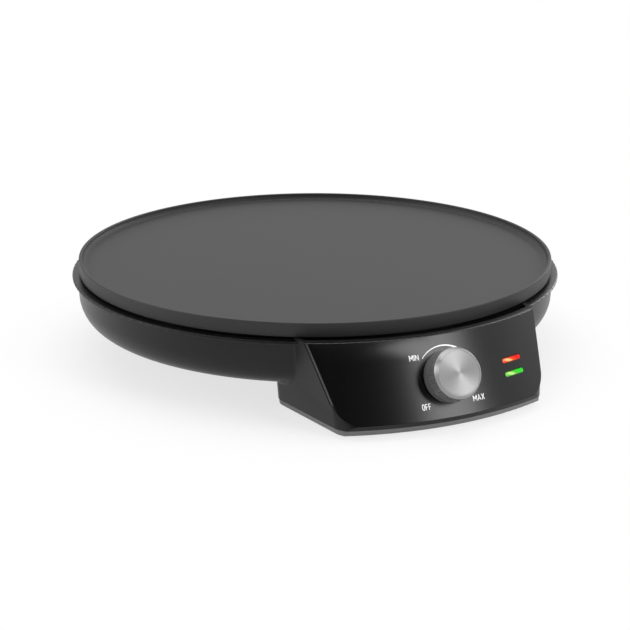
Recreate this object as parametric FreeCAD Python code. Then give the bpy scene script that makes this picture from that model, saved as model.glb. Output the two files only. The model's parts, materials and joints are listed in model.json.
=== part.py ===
import FreeCAD, Part
import math
import os

V = FreeCAD.Vector

# An electric crepe maker: a round cooking plate on a shallow base, with a control housing at the front.
# Millimetres, +Z up, the front looks along -Y, and Z = 0 is the table.
# The model is drawn about the plate's axis and moved at the end, so that the
# origin lies on the table under the middle of the whole.

# Cooking plate
plate_radius = 150.0
plate_top_z = 57.0
plate_recess = 4.0
plate_rim_width = 2.2
plate_rim_foot_radius = 3.0
plate_thickness = 4.0
plate_skirt_depth = 8.2
plate_skirt_wall = 3.0
rim_edge_radius = 0.7

# Base bowl
base_overhang = 0.7
flange_overhang = 3.7
flange_thickness = 2.1
skirt_gap = 1.6
bowl_straight_depth = 10.4
bowl_floor_z = 18.2
bowl_curve_width = 13.2
base_wall = 2.5
upstand_wall = 2.4
upstand_gap = 0.8
base_radius = plate_radius + base_overhang
flange_radius = base_radius + flange_overhang
flange_top_z = plate_top_z - plate_skirt_depth - skirt_gap
flange_low_z = flange_top_z - flange_thickness
bowl_straight_z = flange_low_z - bowl_straight_depth
bowl_floor_radius = base_radius - bowl_curve_width
inner_bowl_floor_z = bowl_floor_z + base_wall

# Control housing
panel_setback = 6.6
panel_run = 21.7
panel_rise_above_flange = 1.9
panel_foot_z = 8.3
pod_floor_z = 2.0
cover_split_z = 5.5
pod_depth = 79.2
pod_back_half_width = 76.15
pod_toe_in = 10.2
pod_draft = 4.6
pod_wall = 2.5
pod_back_corner_radius = 8.0
pod_front_corner_low = 20.0
pod_front_corner_mid = 1.2
pod_front_corner_high = 1.0
pod_corner_mid_z = 22.0
pod_deck_drop = 4.1
pod_front_step = 2.4
pod_blend_radius = 3.0
skirt_clearance = 1.8
panel_thickness = 2.0
panel_corner_radius = 13.0
panel_side_margin = 0.3
panel_fit = 0.15
panel_top_edge_radius = 0.5
cover_thickness = 2.5
cover_inset = 0.4
cover_edge_radius = 1.2
panel_top_radius = flange_radius + panel_setback
panel_foot_radius = panel_top_radius + panel_run
panel_top_z = flange_top_z + panel_rise_above_flange
pod_back_along = panel_foot_radius - pod_depth
pod_front_foot_radius = panel_foot_radius - pod_front_step
pod_deck_z = panel_top_z - pod_deck_drop
pod_root_z = pod_floor_z - 3.0
cover_inner_z = pod_floor_z + cover_thickness
beyond = 2 * panel_foot_radius

# Control knob, its place on the panel and its dial
knob_drop = 21.1
knob_z = panel_top_z - knob_drop
knob_base_radius = 15.1
knob_front_radius = 14.3
knob_height = 14.0
knob_gap = 0.4
knob_plain_band = 5.2
knob_wall = 1.8
knob_hub_radius = 5.0
bezel_width = 1.7
bezel_height = 2.6
bezel_foot = 0.3
bezel_land = 0.25
knob_cap_dish = 0.15
knob_cap_fit = 0.08
grip_count = 60
grip_depth = 0.45
pointer_angle = 142.0
pointer_width = 0.7
pointer_depth = 0.35

# Pilot lamps
lamp_lateral = 45.3
lamp_length = 14.2
lamp_height = 2.8
lamp_drop = 6.9
red_lamp_z = knob_z + 1.6
green_lamp_z = red_lamp_z - lamp_drop
lens_fit = 0.1
lens_proud = 0.35
lens_flange = 1.0
lens_foot_depth = 1.4
lens_edge_radius = 0.3

# Thermostat behind the knob
spindle_radius = 3.0
spindle_fit = 0.05
spindle_flat = 1.0
bush_radius = 4.0
bush_reach = 3.2
nut_across = 11.0
nut_thickness = 2.2
frame_length = 44.0
frame_width = 15.0
frame_sheet = 1.2
pin_radius = 1.5
pin_length = 4.6
leaf_sheet = 0.4
leaf_width = 6.0
insulator_radius = 4.5
rivet_radius = 1.6
rivet_head_radius = 2.6
rivet_fit = 0.1
contact_radius = 1.6
bracket_sheet = 1.0

# Heating element and what holds it
element_ring_radius = plate_radius - 55.0
element_radius = 3.3
element_gap_angle = 26.0
element_fit = 0.1
element_boss_width = 22.0
element_leg_length = 5.0
element_bend_radius = 8.0
element_cover = 1.5
clamp_sheet = 0.9
clamp_screw_count = 6
clamp_screw_inset = 3.4
clamp_opening_margin = 10.0
reflector_sheet = 0.8
reflector_inset = 12.7
reflector_rim = 5.0

# Plate supports
post_inset = 32.0
post_radius = 5.5
post_shoulder_radius = 7.0
post_length_below_plate = 11.0
post_shoulder_drop = 5.0
spacer_height = 3.0
plate_screw_radius = 1.9
plate_screw_head_radius = 3.6
plate_screw_head = 3.0
plate_screw_slot = 0.8
screw_recess_radius = 4.5
screw_recess_depth = 8.0
thread_fit = 0.1
hole_fit = 0.3

# Small screws, and the thermal fuse with its boss
small_screw_radius = 1.5
small_screw_head_radius = 2.7
small_screw_head = 1.8
small_slot = 0.7
blind_depth = 0.6
fuse_boss_radius = 3.5
fuse_radius = 2.0
fuse_length = 12.0
fuse_lead_radius = 0.5
fuse_lead_length = 4.0
fuse_lateral = -10.0
fuse_inset = 29.0
fuse_clip_sheet = 0.6
fuse_clip_width = 5.0

# Feet
foot_radius = 7.0
foot_edge_radius = 0.6
rear_leg_inset = 32.5
rear_leg_spread = 40.0
rear_leg_top_radius = 10.0
leg_foot_margin = 0.8
leg_recess_radius = 4.6
leg_recess_top = 10.0
front_foot_lateral = 47.0
front_foot_setback = 34.7
foot_stem_radius = 2.5
foot_barb = 0.6
foot_barb_height = 1.2

# Cord inlet, cord clamp and terminal block
cord_lateral = -38.0
cord_z = 10.4
cord_bore_radius = 3.3
gland_body_radius = 4.3
gland_flange_radius = 4.8
gland_flange = 1.6
gland_reach = 2.0
gland_fit = 0.1
clamp_setback = 13.0
clamp_post_lateral = 8.5
clamp_post_radius = 3.0
clamp_bar = 2.0
clamp_bar_half_width = 2.5
clamp_screw_radius = 1.2
clamp_screw_head_radius = 2.0
clamp_screw_head = 0.9
terminal_setback = 27.5
terminal_length = 30.0
terminal_depth = 13.0
terminal_height = 9.0
terminal_ways = (-9.0, 0.0, 9.0)
terminal_screw_lateral = 4.5
terminal_hole_radius = 1.7
terminal_hole_height = 4.5
terminal_screw_offset = 3.0
terminal_recess = 3.0

# Bosses, windows and vents of the base
rear_boss_lateral = 61.0
rear_boss_setback = 11.0
front_boss_lateral = 54.0
front_boss_setback = 17.7
cover_boss_radius = 3.6
front_boss_height = 8.5
cover_head_recess = 1.4
cover_screw_length = 8.0
leg_boss_radius = 4.0
leg_boss_height = 5.0
panel_boss_depth = 8.0
panel_boss_length = 28.0
panel_boss_width = 16.0
bracket_screw_lateral = 10.0
stud_radius = 2.0
stud_length = 4.4
stud_places = [(-21.0, knob_z + 12.0), (21.0, knob_z + 12.0), (-13.0, knob_z - 14.0), (13.0, knob_z - 14.0)]
window_half_width = 30.0
window_low_z = 24.0
window_high_z = 40.0
window_depth = 13.0
vent_count = 12
vent_radius = 62.0
vent_length = 22.0
vent_width = 3.0

# Lamp holder
holder_half_length = 11.0
holder_depth = 8.0
holder_wall = 1.2
holder_gap = 0.5
holder_cell_half_length = 7.5
bulb_radius = 1.7
bulb_length = 12.0
bulb_clearance = 0.4
holder_screw_radius = 1.2
holder_screw_lateral = 9.3
lead_hole_radius = 0.6
lead_lateral = 5.0
resistor_radius = 1.3
resistor_length = 5.0

# Places that follow from the sizes above
plate_floor_z = plate_top_z - plate_recess
plate_under_z = plate_floor_z - plate_thickness
skirt_inner_radius = plate_radius - plate_skirt_wall
upstand_radius = skirt_inner_radius - upstand_gap
upstand_top_z = plate_under_z - upstand_gap
post_circle = plate_radius - post_inset
post_top_z = plate_under_z - post_length_below_plate
reflector_z = post_top_z - post_shoulder_drop
reflector_radius = base_radius - reflector_inset
element_z = plate_under_z - element_radius - element_cover
boss_low_z = element_z
clamp_circle = element_ring_radius - element_boss_width / 2 + clamp_screw_inset
fuse_along = element_ring_radius - fuse_inset
rear_leg_circle = bowl_floor_radius - rear_leg_inset
front_foot_along = panel_foot_radius - front_foot_setback
rear_boss_y = -(pod_back_along + rear_boss_setback)
front_boss_y = -(panel_foot_radius - front_boss_setback)
cover_boss_places = [(-rear_boss_lateral, rear_boss_y), (rear_boss_lateral, rear_boss_y),
                     (-front_boss_lateral, front_boss_y), (front_boss_lateral, front_boss_y)]
clamp_y = -(pod_back_along + clamp_setback)
clamp_bar_z = cord_z + cord_bore_radius
terminal_y = -(pod_back_along + terminal_setback)
terminal_screw_xs = (cord_lateral - terminal_screw_lateral, cord_lateral + terminal_screw_lateral)
knob_front = knob_gap + knob_height
knob_body_top = knob_front - bezel_height


def revolved(points, degrees=360.0):
    """A closed outline of (radius, z) points turned about Z."""
    loop = [V(r, 0, z) for r, z in points]
    loop.append(loop[0])
    face = Part.Face(Part.makePolygon(loop))
    return face.revolve(V(0, 0, 0), V(0, 0, 1), degrees)


def disc(radius, z_low, z_high, x=0.0, y=0.0):
    return Part.makeCylinder(radius, z_high - z_low, V(x, y, z_low))


def ring(outer, inner, z_low, z_high, x=0.0, y=0.0):
    return disc(outer, z_low, z_high, x, y).cut(disc(inner, z_low - 1, z_high + 1, x, y))


def block(x_low, x_high, y_low, y_high, z_low, z_high):
    return Part.makeBox(x_high - x_low, y_high - y_low, z_high - z_low, V(x_low, y_low, z_low))


def joined(shapes):
    whole = shapes[0]
    for shape in shapes[1:]:
        whole = whole.fuse(shape)
    return whole.removeSplitter()


def polar(radius, degrees):
    """A point round the plate's axis, with 0 degrees at the front and positive to the right."""
    turn = math.radians(degrees)
    return radius * math.sin(turn), -radius * math.cos(turn)


# The panel is part of a cone about the plate's axis.
panel_slope = (panel_foot_radius - panel_top_radius) / (panel_top_z - panel_foot_z)
panel_tilt = math.atan(panel_slope)


def panel_radius(z):
    return panel_top_radius + panel_slope * (panel_top_z - z)


def panel_place(degrees, z):
    """Local axes on the panel: X to the right, Y up the slope, Z out of the panel."""
    turn = math.radians(degrees)
    x, y = polar(panel_radius(z), degrees)
    across = V(math.cos(turn), math.sin(turn), 0)
    out = V(math.sin(turn) * math.cos(panel_tilt), -math.cos(turn) * math.cos(panel_tilt),
            math.sin(panel_tilt))
    up = out.cross(across)
    matrix = FreeCAD.Matrix(across.x, up.x, out.x, x, across.y, up.y, out.y, y,
                            across.z, up.z, out.z, z, 0, 0, 0, 1)
    return FreeCAD.Placement(matrix)


def placed(shape, placement):
    moved = shape.copy()
    moved.transformShape(placement.toMatrix(), True)
    return moved


def wedge(inset, z_low, z_high):
    """The housing's plan between its back and side walls, without its curved front."""
    toe = math.radians(pod_toe_in)
    front_along = beyond
    back_along = pod_back_along + inset

    def half_width(along, z):
        at_floor = pod_back_half_width - (along - pod_back_along) * math.tan(toe)
        spread = (z - pod_floor_z) * math.tan(math.radians(pod_draft)) / math.cos(toe)
        return at_floor + spread - inset / math.cos(toe)

    corners = []
    for z in (z_low, z_high):
        for along, side in ((back_along, -1), (back_along, 1), (front_along, 1), (front_along, -1)):
            corners.append(V(side * half_width(along, z), -along, z))
    faces = []
    for loop in ((0, 1, 2, 3), (4, 5, 6, 7), (0, 1, 5, 4), (1, 2, 6, 5), (2, 3, 7, 6), (3, 0, 4, 7)):
        points = [corners[i] for i in loop]
        faces.append(Part.Face(Part.makePolygon(points + points[:1])))
    solid = Part.Solid(Part.Shell(faces))
    if solid.Volume < 0:
        solid.reverse()
    return solid


def climbing_edge(solid, side, front):
    """The upright edge at one front or back corner of the housing."""
    split = -(pod_back_along + pod_depth / 3)
    for edge in solid.Edges:
        centre = edge.BoundBox.Center
        upright = edge.BoundBox.ZLength > pod_wall
        if upright and centre.x * side > panel_corner_radius and (centre.y < split) == front:
            return edge


def corner_rounded(solid, low, high):
    """The solid with its two upright front edges rounded, from the low to the high radius."""
    for side in (-1, 1):
        edge = climbing_edge(solid, side, True)
        climbs = edge.valueAt(edge.FirstParameter).z < edge.valueAt(edge.LastParameter).z
        radii = (low, high) if climbs else (high, low)
        solid = solid.makeFillet(radii[0], radii[1], [edge])
    return solid


def pod_part(inset, front_inset, z_low, z_high):
    """The housing between two heights, its walls moved in by the insets, with sharp front corners."""
    flat = front_inset / math.cos(panel_tilt)
    cone = revolved([(0, z_low), (panel_radius(z_low) - flat, z_low),
                     (panel_radius(z_high) - flat, z_high), (0, z_high)])
    solid = wedge(inset, z_low, z_high).common(cone)
    back = [climbing_edge(solid, side, False) for side in (-1, 1)]
    return solid.makeFillet(max(pod_back_corner_radius - inset, 1.0), back)


def pod_block(inset, front_inset, z_low, z_high):
    """The housing as a solid, rounded most at its lower front corners."""
    low = max(pod_front_corner_low - inset, 1.0)
    middle = max(pod_front_corner_mid - inset, 0.8)
    high = max(pod_front_corner_high - inset, 0.7)
    trunk = corner_rounded(pod_part(inset, front_inset, pod_root_z, pod_corner_mid_z), low, middle)
    upper = corner_rounded(pod_part(inset, front_inset, pod_corner_mid_z, z_high), middle, high)
    whole = trunk.fuse(upper).removeSplitter()
    if z_low > pod_root_z:
        whole = whole.common(block(-beyond, beyond, -beyond, 0, z_low, z_high))
    return whole


post_places = [polar(post_circle, a) for a in (45, 135, 225, 315)]
clamp_screw_places = [polar(clamp_circle, 30 + 60 * i) for i in range(clamp_screw_count)]
leg_places = [polar(rear_leg_circle, 180 + a) for a in (-rear_leg_spread, rear_leg_spread)]
fuse_screw_place = (fuse_lateral, -(fuse_along - fuse_radius - fuse_boss_radius - 1.0))


def ellipse_arc(radius_x, radius_z, centre_x, centre_z):
    """The lower outer quarter of an ellipse in the XZ plane, from its side to its bottom."""
    mid = math.sqrt(0.5)
    if radius_x > radius_z:
        curve = Part.Ellipse(V(radius_x, 0, 0), V(0, radius_z, 0), V(0, 0, 0))
        first, last = 1.5 * math.pi, 2 * math.pi
    else:
        curve = Part.Ellipse(V(0, radius_z, 0), V(-radius_x, 0, 0), V(0, 0, 0))
        first, last = math.pi, 1.5 * math.pi
    edge = curve.toShape(first, last)
    edge.rotate(V(0, 0, 0), V(1, 0, 0), 90)
    edge.translate(V(centre_x, 0, centre_z))
    return edge


def bowl_solid(inset, top_z):
    """The bowl as a filled solid: a straight wall over a quarter ellipse and a flat floor."""
    radius = base_radius - inset
    floor = bowl_floor_z + inset
    centre = bowl_floor_radius
    arc = ellipse_arc(radius - centre, bowl_straight_z - floor, centre, bowl_straight_z)
    lines = [Part.makeLine(V(0, 0, floor), V(centre, 0, floor)),
             arc,
             Part.makeLine(V(radius, 0, bowl_straight_z), V(radius, 0, top_z)),
             Part.makeLine(V(radius, 0, top_z), V(0, 0, top_z)),
             Part.makeLine(V(0, 0, top_z), V(0, 0, floor))]
    face = Part.Face(Part.Wire(Part.__sortEdges__(lines)))
    return face.revolve(V(0, 0, 0), V(0, 0, 1), 360)


def cooking_plate():
    """A cast plate: raised rim, skirt, ring boss for the element and screw bosses underneath."""
    inner_top = plate_radius - plate_rim_width
    plate = revolved([(0, plate_under_z), (skirt_inner_radius, plate_under_z),
                      (skirt_inner_radius, plate_top_z - plate_skirt_depth),
                      (plate_radius, plate_top_z - plate_skirt_depth), (plate_radius, plate_top_z),
                      (inner_top, plate_top_z), (inner_top, plate_floor_z), (0, plate_floor_z)])
    foot = [e for e in plate.Edges if is_circle(e, inner_top, plate_floor_z)]
    plate = plate.makeFillet(plate_rim_foot_radius, foot)
    outer_rim = [e for e in plate.Edges if is_circle(e, plate_radius, plate_top_z)]
    crest = [e for e in plate.Edges if is_circle(e, inner_top, plate_top_z)]
    plate = plate.makeFillet(rim_edge_radius, outer_rim + crest)
    half = element_boss_width / 2
    boss = ring(element_ring_radius + half, element_ring_radius - half, boss_low_z, plate_under_z)
    groove = Part.makeTorus(element_ring_radius, element_radius + element_fit, V(0, 0, element_z))
    pieces = [plate, boss.cut(groove)]
    pieces += [disc(post_radius, post_top_z + spacer_height, plate_under_z, x, y) for x, y in post_places]
    x, y = fuse_screw_place
    pieces.append(disc(fuse_boss_radius, boss_low_z, plate_under_z, x, y))
    plate = joined(pieces)
    tapped = small_screw_radius + thread_fit
    for x, y in post_places:
        plate = plate.cut(disc(plate_screw_radius + thread_fit, post_top_z, plate_under_z - 1, x, y))
    for x, y in clamp_screw_places:
        plate = plate.cut(disc(tapped, boss_low_z - 1, plate_under_z - blind_depth, x, y))
    x, y = fuse_screw_place
    return plate.cut(disc(tapped, boss_low_z - 1, plate_under_z - blind_depth, x, y))


def is_circle(edge, radius, z):
    """True for a full circle about Z with this radius, at this height."""
    curve = edge.Curve
    if curve.TypeId != "Part::GeomCircle":
        return False
    return abs(curve.Radius - radius) < 1e-4 and abs(curve.Center.z - z) < 1e-4


def heating_element():
    """A sheathed ring, open at the front, with both ends bent down to its terminals."""
    half = element_gap_angle / 2
    profile = Part.Face(Part.Wire(Part.makeCircle(element_radius, V(element_ring_radius, 0, element_z),
                                                  V(0, 1, 0))))
    hoop = profile.revolve(V(0, 0, 0), V(0, 0, 1), 360 - element_gap_angle)
    hoop.rotate(V(0, 0, 0), V(0, 0, 1), -90 + half)
    pieces = [hoop]
    for side in (-1, 1):
        x, y = polar(element_ring_radius, side * half)
        turn = math.radians(side * half)
        along = V(-side * math.cos(turn), -side * math.sin(turn), 0)
        start = V(x, y, element_z)
        pivot = start - V(0, 0, element_bend_radius)
        circle = Part.Face(Part.Wire(Part.makeCircle(element_radius, start, along)))
        axis = V(0, 0, 1).cross(along)
        bend = circle.revolve(pivot, axis, 90)
        end = pivot + along * element_bend_radius
        leg = Part.makeCylinder(element_radius, element_leg_length, end, V(0, 0, -1))
        pieces += [bend, leg]
    return joined(pieces)


def element_ends():
    """The centres of the two lower ends of the element's legs."""
    ends = []
    for side in (-1, 1):
        half = side * element_gap_angle / 2
        x, y = polar(element_ring_radius, half)
        turn = math.radians(half)
        ends.append(V(x - side * math.cos(turn) * element_bend_radius,
                      y - side * math.sin(turn) * element_bend_radius,
                      element_z - element_bend_radius - element_leg_length))
    return ends


terminal_bead_radius = 2.6
terminal_bead_length = 2.0
terminal_pin_radius = 0.8
terminal_pin_length = 5.0


def terminal_beads():
    beads = [Part.makeCylinder(terminal_bead_radius, terminal_bead_length, p, V(0, 0, -1)).cut(
        Part.makeCylinder(terminal_pin_radius, terminal_bead_length, p, V(0, 0, -1)))
        for p in element_ends()]
    return Part.makeCompound(beads)


def terminal_pins():
    pins = []
    for p in element_ends():
        pins.append(Part.makeCylinder(terminal_pin_radius, terminal_pin_length, p, V(0, 0, -1)))
    return Part.makeCompound(pins)


def clamp_ring():
    """A pressed ring of hat section that holds the element in its groove, open at the terminals."""
    half = element_boss_width / 2
    inner = element_radius + element_fit
    outer = inner + clamp_sheet
    top = boss_low_z
    low = element_z - outer
    hat = [(-half, top), (-inner, top), (-inner, low + clamp_sheet), (inner, low + clamp_sheet),
           (inner, top), (half, top), (half, top - clamp_sheet), (outer, top - clamp_sheet),
           (outer, low), (-outer, low), (-outer, top - clamp_sheet), (-half, top - clamp_sheet)]
    open_angle = element_gap_angle + clamp_opening_margin
    solid = revolved([(element_ring_radius + r, z) for r, z in hat], 360 - open_angle)
    solid.rotate(V(0, 0, 0), V(0, 0, 1), -90 + open_angle / 2)
    for x, y in clamp_screw_places:
        solid = solid.cut(disc(small_screw_radius + hole_fit, low, top + 1, x, y))
    return solid


def small_screw(x, y, seat_z, length):
    """A flat-headed screw that climbs from its seat along Z."""
    shank = disc(small_screw_radius, seat_z, seat_z + length, x, y)
    head = disc(small_screw_head_radius, seat_z - small_screw_head, seat_z, x, y)
    return shank.fuse(head).removeSplitter()


def clamp_screws():
    length = plate_under_z - 1.6 - (boss_low_z - clamp_sheet)
    return Part.makeCompound([small_screw(x, y, boss_low_z - clamp_sheet, length)
                              for x, y in clamp_screw_places])


def reflector_pan():
    """A thin dish under the element that rests on the shoulders of the posts."""
    floor_z = reflector_z
    top = reflector_z + reflector_rim
    pan = revolved([(0, floor_z), (reflector_radius, floor_z), (reflector_radius, top),
                    (reflector_radius - reflector_sheet, top),
                    (reflector_radius - reflector_sheet, floor_z + reflector_sheet),
                    (0, floor_z + reflector_sheet)])
    for x, y in post_places:
        pan = pan.cut(disc(post_radius + hole_fit, floor_z - 1, top, x, y))
    ends = element_ends()
    margin = element_radius + 4.0
    slot = block(ends[0].x - margin, ends[1].x + margin, ends[0].y - margin, ends[0].y + margin,
                 floor_z - 1, top)
    return pan.cut(slot)


def plate_spacers():
    return Part.makeCompound([ring(post_radius, plate_screw_radius + hole_fit, post_top_z,
                                   post_top_z + spacer_height, x, y) for x, y in post_places])


def plate_screws():
    """Long screws that climb through the posts and the spacers into the plate."""
    seat = bowl_floor_z + screw_recess_depth
    screws = []
    for x, y in post_places:
        shank = disc(plate_screw_radius, seat, plate_under_z - 2, x, y)
        head = disc(plate_screw_head_radius, seat - plate_screw_head, seat, x, y)
        slot = block(x - plate_screw_head_radius, x + plate_screw_head_radius, y - plate_screw_slot / 2,
                     y + plate_screw_slot / 2, seat - plate_screw_head - 1, seat - plate_screw_head + 1)
        screws.append(shank.fuse(head).cut(slot).removeSplitter())
    return Part.makeCompound(screws)


def panel_half_width(z, margin):
    """Where the housing's side wall meets the panel's cone at this height."""
    toe = math.radians(pod_toe_in)
    radius = panel_radius(z)
    width = pod_back_half_width
    for step in range(30):
        along = math.sqrt(radius ** 2 - width ** 2)
        spread = (z - pod_floor_z) * math.tan(math.radians(pod_draft)) / math.cos(toe)
        width = pod_back_half_width - (along - pod_back_along) * math.tan(toe) + spread - margin
    return width


def corner_tools(fit):
    """The two lower corners that the panel's outline rounds off, as prisms along Y."""
    radius = panel_corner_radius
    low = panel_foot_z - fit
    centre_z = low + radius
    side = panel_half_width(centre_z, panel_side_margin) + fit
    rise = panel_half_width(centre_z + 1, panel_side_margin) + fit - side
    lean = math.atan(rise)
    centre_x = side - radius / math.cos(lean)
    tangent_z = centre_z - radius * math.sin(lean)
    tools = []
    for sign in (-1, 1):
        x_in, x_out = sorted((sign * centre_x, sign * (centre_x + 2 * radius)))
        square = block(x_in, x_out, -beyond, -pod_back_along, low - radius, tangent_z)
        round_part = Part.makeCylinder(radius, beyond, V(sign * centre_x, 0, centre_z), V(0, -1, 0))
        tools.append(square.cut(round_part))
    return tools


def cone_layer(inner_inset, outer_inset, z_low, z_high):
    """The space between two offsets of the panel's cone."""
    cosine = math.cos(panel_tilt)

    def radius(z, inset):
        return panel_radius(z) - inset / cosine

    return revolved([(radius(z_low, inner_inset), z_low), (radius(z_low, outer_inset), z_low),
                     (radius(z_high, outer_inset), z_high), (radius(z_high, inner_inset), z_high)])


def lamp_turn(z):
    """How far round the plate's axis the lamps sit at this height."""
    return math.degrees(math.asin(lamp_lateral / panel_radius(z)))


lamp_places = {"red": (lamp_turn(red_lamp_z), red_lamp_z), "green": (lamp_turn(green_lamp_z), green_lamp_z)}
lamp_mid_z = (red_lamp_z + green_lamp_z) / 2
lamp_pitch = (red_lamp_z - green_lamp_z) / math.cos(panel_tilt)
lamp_mid_place = panel_place(lamp_turn(lamp_mid_z), lamp_mid_z)


def capsule(length, height, low, high):
    """A flat-ended bar with round sides, long along X."""
    half = (length - height) / 2
    bar = block(-half, half, -height / 2, height / 2, low, high)
    return joined([bar, disc(height / 2, low, high, -half, 0), disc(height / 2, low, high, half, 0)])


def front_panel():
    """The curved front plate with its lamp windows, knob hole and rear studs."""
    slab = cone_layer(panel_thickness, 0, panel_foot_z, panel_top_z)
    slab = slab.common(wedge(panel_side_margin, panel_foot_z - 1, panel_top_z + 1))
    slab = slab.common(block(-beyond, beyond, -beyond, -pod_back_along, 0, panel_top_z + 1))
    for tool in corner_tools(0):
        slab = slab.cut(tool)
    top_edge = [e for e in slab.Edges if is_arc(e, panel_top_radius, panel_top_z)]
    slab = slab.makeFillet(panel_top_edge_radius, top_edge)
    for angle, z in stud_places:
        stud = disc(stud_radius, -panel_thickness - stud_length, -panel_thickness / 2)
        slab = slab.fuse(placed(stud, panel_place(angle, z)))
    slab = slab.removeSplitter()
    for angle, z in lamp_places.values():
        hole = capsule(lamp_length + 2 * lens_fit, lamp_height + 2 * lens_fit, -6, 3)
        slab = slab.cut(placed(hole, panel_place(angle, z)))
    return slab.cut(placed(disc(bush_radius + hole_fit, -8, 4), panel_place(0, knob_z)))


def is_arc(edge, radius, z):
    """True for an arc about Z with this radius, at this height."""
    curve = edge.Curve
    if curve.TypeId != "Part::GeomCircle":
        return False
    return abs(curve.Radius - radius) < 1e-3 and abs(curve.Center.z - z) < 1e-3


def lower_trim():
    """The housing's front below the panel, where it turns back under."""
    mid = panel_foot_radius - pod_front_step * 0.375
    return revolved([(0, -1), (pod_front_foot_radius, -1), (pod_front_foot_radius, pod_floor_z),
                     (mid, cover_split_z), (panel_foot_radius, panel_foot_z),
                     (panel_foot_radius, panel_top_z + 1), (0, panel_top_z + 1)])


def is_crease(edge):
    """True for an edge where the housing leaves the bowl's wall or floor."""
    middle = edge.valueAt((edge.FirstParameter + edge.LastParameter) / 2)
    if middle.y > -pod_back_along + 1 or not bowl_floor_z - 0.1 < middle.z < flange_top_z - 0.1:
        return False
    radius = math.hypot(middle.x, middle.y)
    on_floor = abs(middle.z - bowl_floor_z) < 0.01 and radius < bowl_floor_radius - 0.1
    on_wall = bowl_floor_z + 0.1 < middle.z and radius < base_radius + 0.1
    in_pod = abs(middle.x) > pod_back_half_width - pod_back_corner_radius
    return (on_floor and edge.BoundBox.ZLength < 0.1) or (on_wall and in_pod)


def shell_form():
    """The bowl and the housing as one filled form, blended where they meet."""
    pod = pod_block(0, 0, cover_split_z, panel_top_z).common(lower_trim())
    form = bowl_solid(0, flange_top_z).fuse(pod)
    form = form.cut(disc(plate_radius + skirt_clearance, flange_top_z, panel_top_z + 5))
    return form.makeFillet(pod_blend_radius, [e for e in form.Edges if is_crease(e)])


def flange_ring():
    """The flange round the bowl and the upstand inside the plate's skirt."""
    inner = upstand_radius - upstand_wall
    flange = revolved([(inner, flange_low_z), (flange_radius, flange_low_z), (flange_radius, flange_top_z),
                       (upstand_radius, flange_top_z), (upstand_radius, upstand_top_z), (inner, upstand_top_z)])
    edges = [e for e in flange.Edges if is_circle(e, flange_radius, flange_low_z)
             or is_circle(e, flange_radius, flange_top_z)]
    return flange.makeFillet(flange_thickness * 0.4, edges)


def shell_additions():
    """The posts and bosses that stand inside the base."""
    inside = pod_block(pod_wall / 2, panel_thickness, pod_root_z, pod_deck_z)
    foot = bowl_floor_z + base_wall / 2
    pieces = [disc(post_shoulder_radius, foot, reflector_z, x, y) for x, y in post_places]
    pieces += [disc(post_radius, reflector_z, post_top_z, x, y) for x, y in post_places]
    pieces += [disc(leg_boss_radius, foot, inner_bowl_floor_z + leg_boss_height, x, y) for x, y in leg_places]
    for x, y in cover_boss_places:
        behind = y > terminal_y
        top = foot if behind else cover_inner_z + front_boss_height
        pieces.append(disc(cover_boss_radius, cover_inner_z, top, x, y).common(inside))
    half = panel_boss_length / 2
    boss = block(-half, half, -panel_boss_width / 2, panel_boss_width / 2, -panel_boss_depth, -panel_thickness)
    pieces.append(placed(boss, panel_place(0, knob_z)).common(inside))
    return pieces


def shell_cutters():
    """Everything that is taken out of the base: the panel's seat, screw holes, windows and vents."""
    knob_place = panel_place(0, knob_z)
    lamp_place = lamp_mid_place
    pocket = cone_layer(panel_thickness + panel_fit, -12, panel_foot_z - panel_fit, panel_top_z + 8)
    cutters = [pocket.cut(corner_tools(panel_fit))]
    tapped = small_screw_radius + thread_fit
    for x, y in post_places:
        cutters.append(disc(plate_screw_radius + hole_fit, bowl_floor_z - 1, post_top_z + 1, x, y))
        cutters.append(disc(screw_recess_radius, bowl_floor_z - 1, bowl_floor_z + screw_recess_depth, x, y))
    for x, y in leg_places:
        cutters.append(disc(tapped, bowl_floor_z - 1, inner_bowl_floor_z + leg_boss_height - 0.8, x, y))
    for x, y in cover_boss_places:
        cutters.append(disc(tapped, cover_inner_z - 1, cover_inner_z + cover_screw_length, x, y))
    cutters.append(placed(disc(bush_radius + hole_fit, -panel_boss_depth - 4, 4), knob_place))
    for side in (-1, 1):
        cutters.append(placed(disc(tapped, -panel_boss_depth - 1, -panel_thickness - 1.4,
                                   side * bracket_screw_lateral, 0), knob_place))
        cutters.append(placed(disc(holder_screw_radius + thread_fit, -panel_thickness - pod_wall - 1,
                                   -panel_thickness - 0.6, side * holder_screw_lateral, 0), lamp_place))
    for angle, z in stud_places:
        cutters.append(placed(disc(stud_radius + hole_fit, -12, 0), panel_place(angle, z)))
    for angle, z in lamp_places.values():
        grow = 2 * (lens_flange + hole_fit)
        hole = capsule(lamp_length + grow, lamp_height + grow, -7, 0)
        cutters.append(placed(hole, panel_place(angle, z)))
    cutters.append(Part.makeCylinder(gland_body_radius + gland_fit, 8,
                                     V(cord_lateral, -pod_back_along - 5, cord_z), V(0, 1, 0)))
    cutters.append(block(-window_half_width, window_half_width, -base_radius - 4, -base_radius + window_depth,
                         window_low_z, window_high_z))
    for index in range(vent_count):
        slot = block(-vent_width / 2, vent_width / 2, vent_radius, vent_radius + vent_length,
                     bowl_floor_z - 1, inner_bowl_floor_z + 1)
        slot.rotate(V(0, 0, 0), V(0, 0, 1), (index + 0.5) * 360 / vent_count)
        cutters.append(slot)
    return cutters


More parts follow.
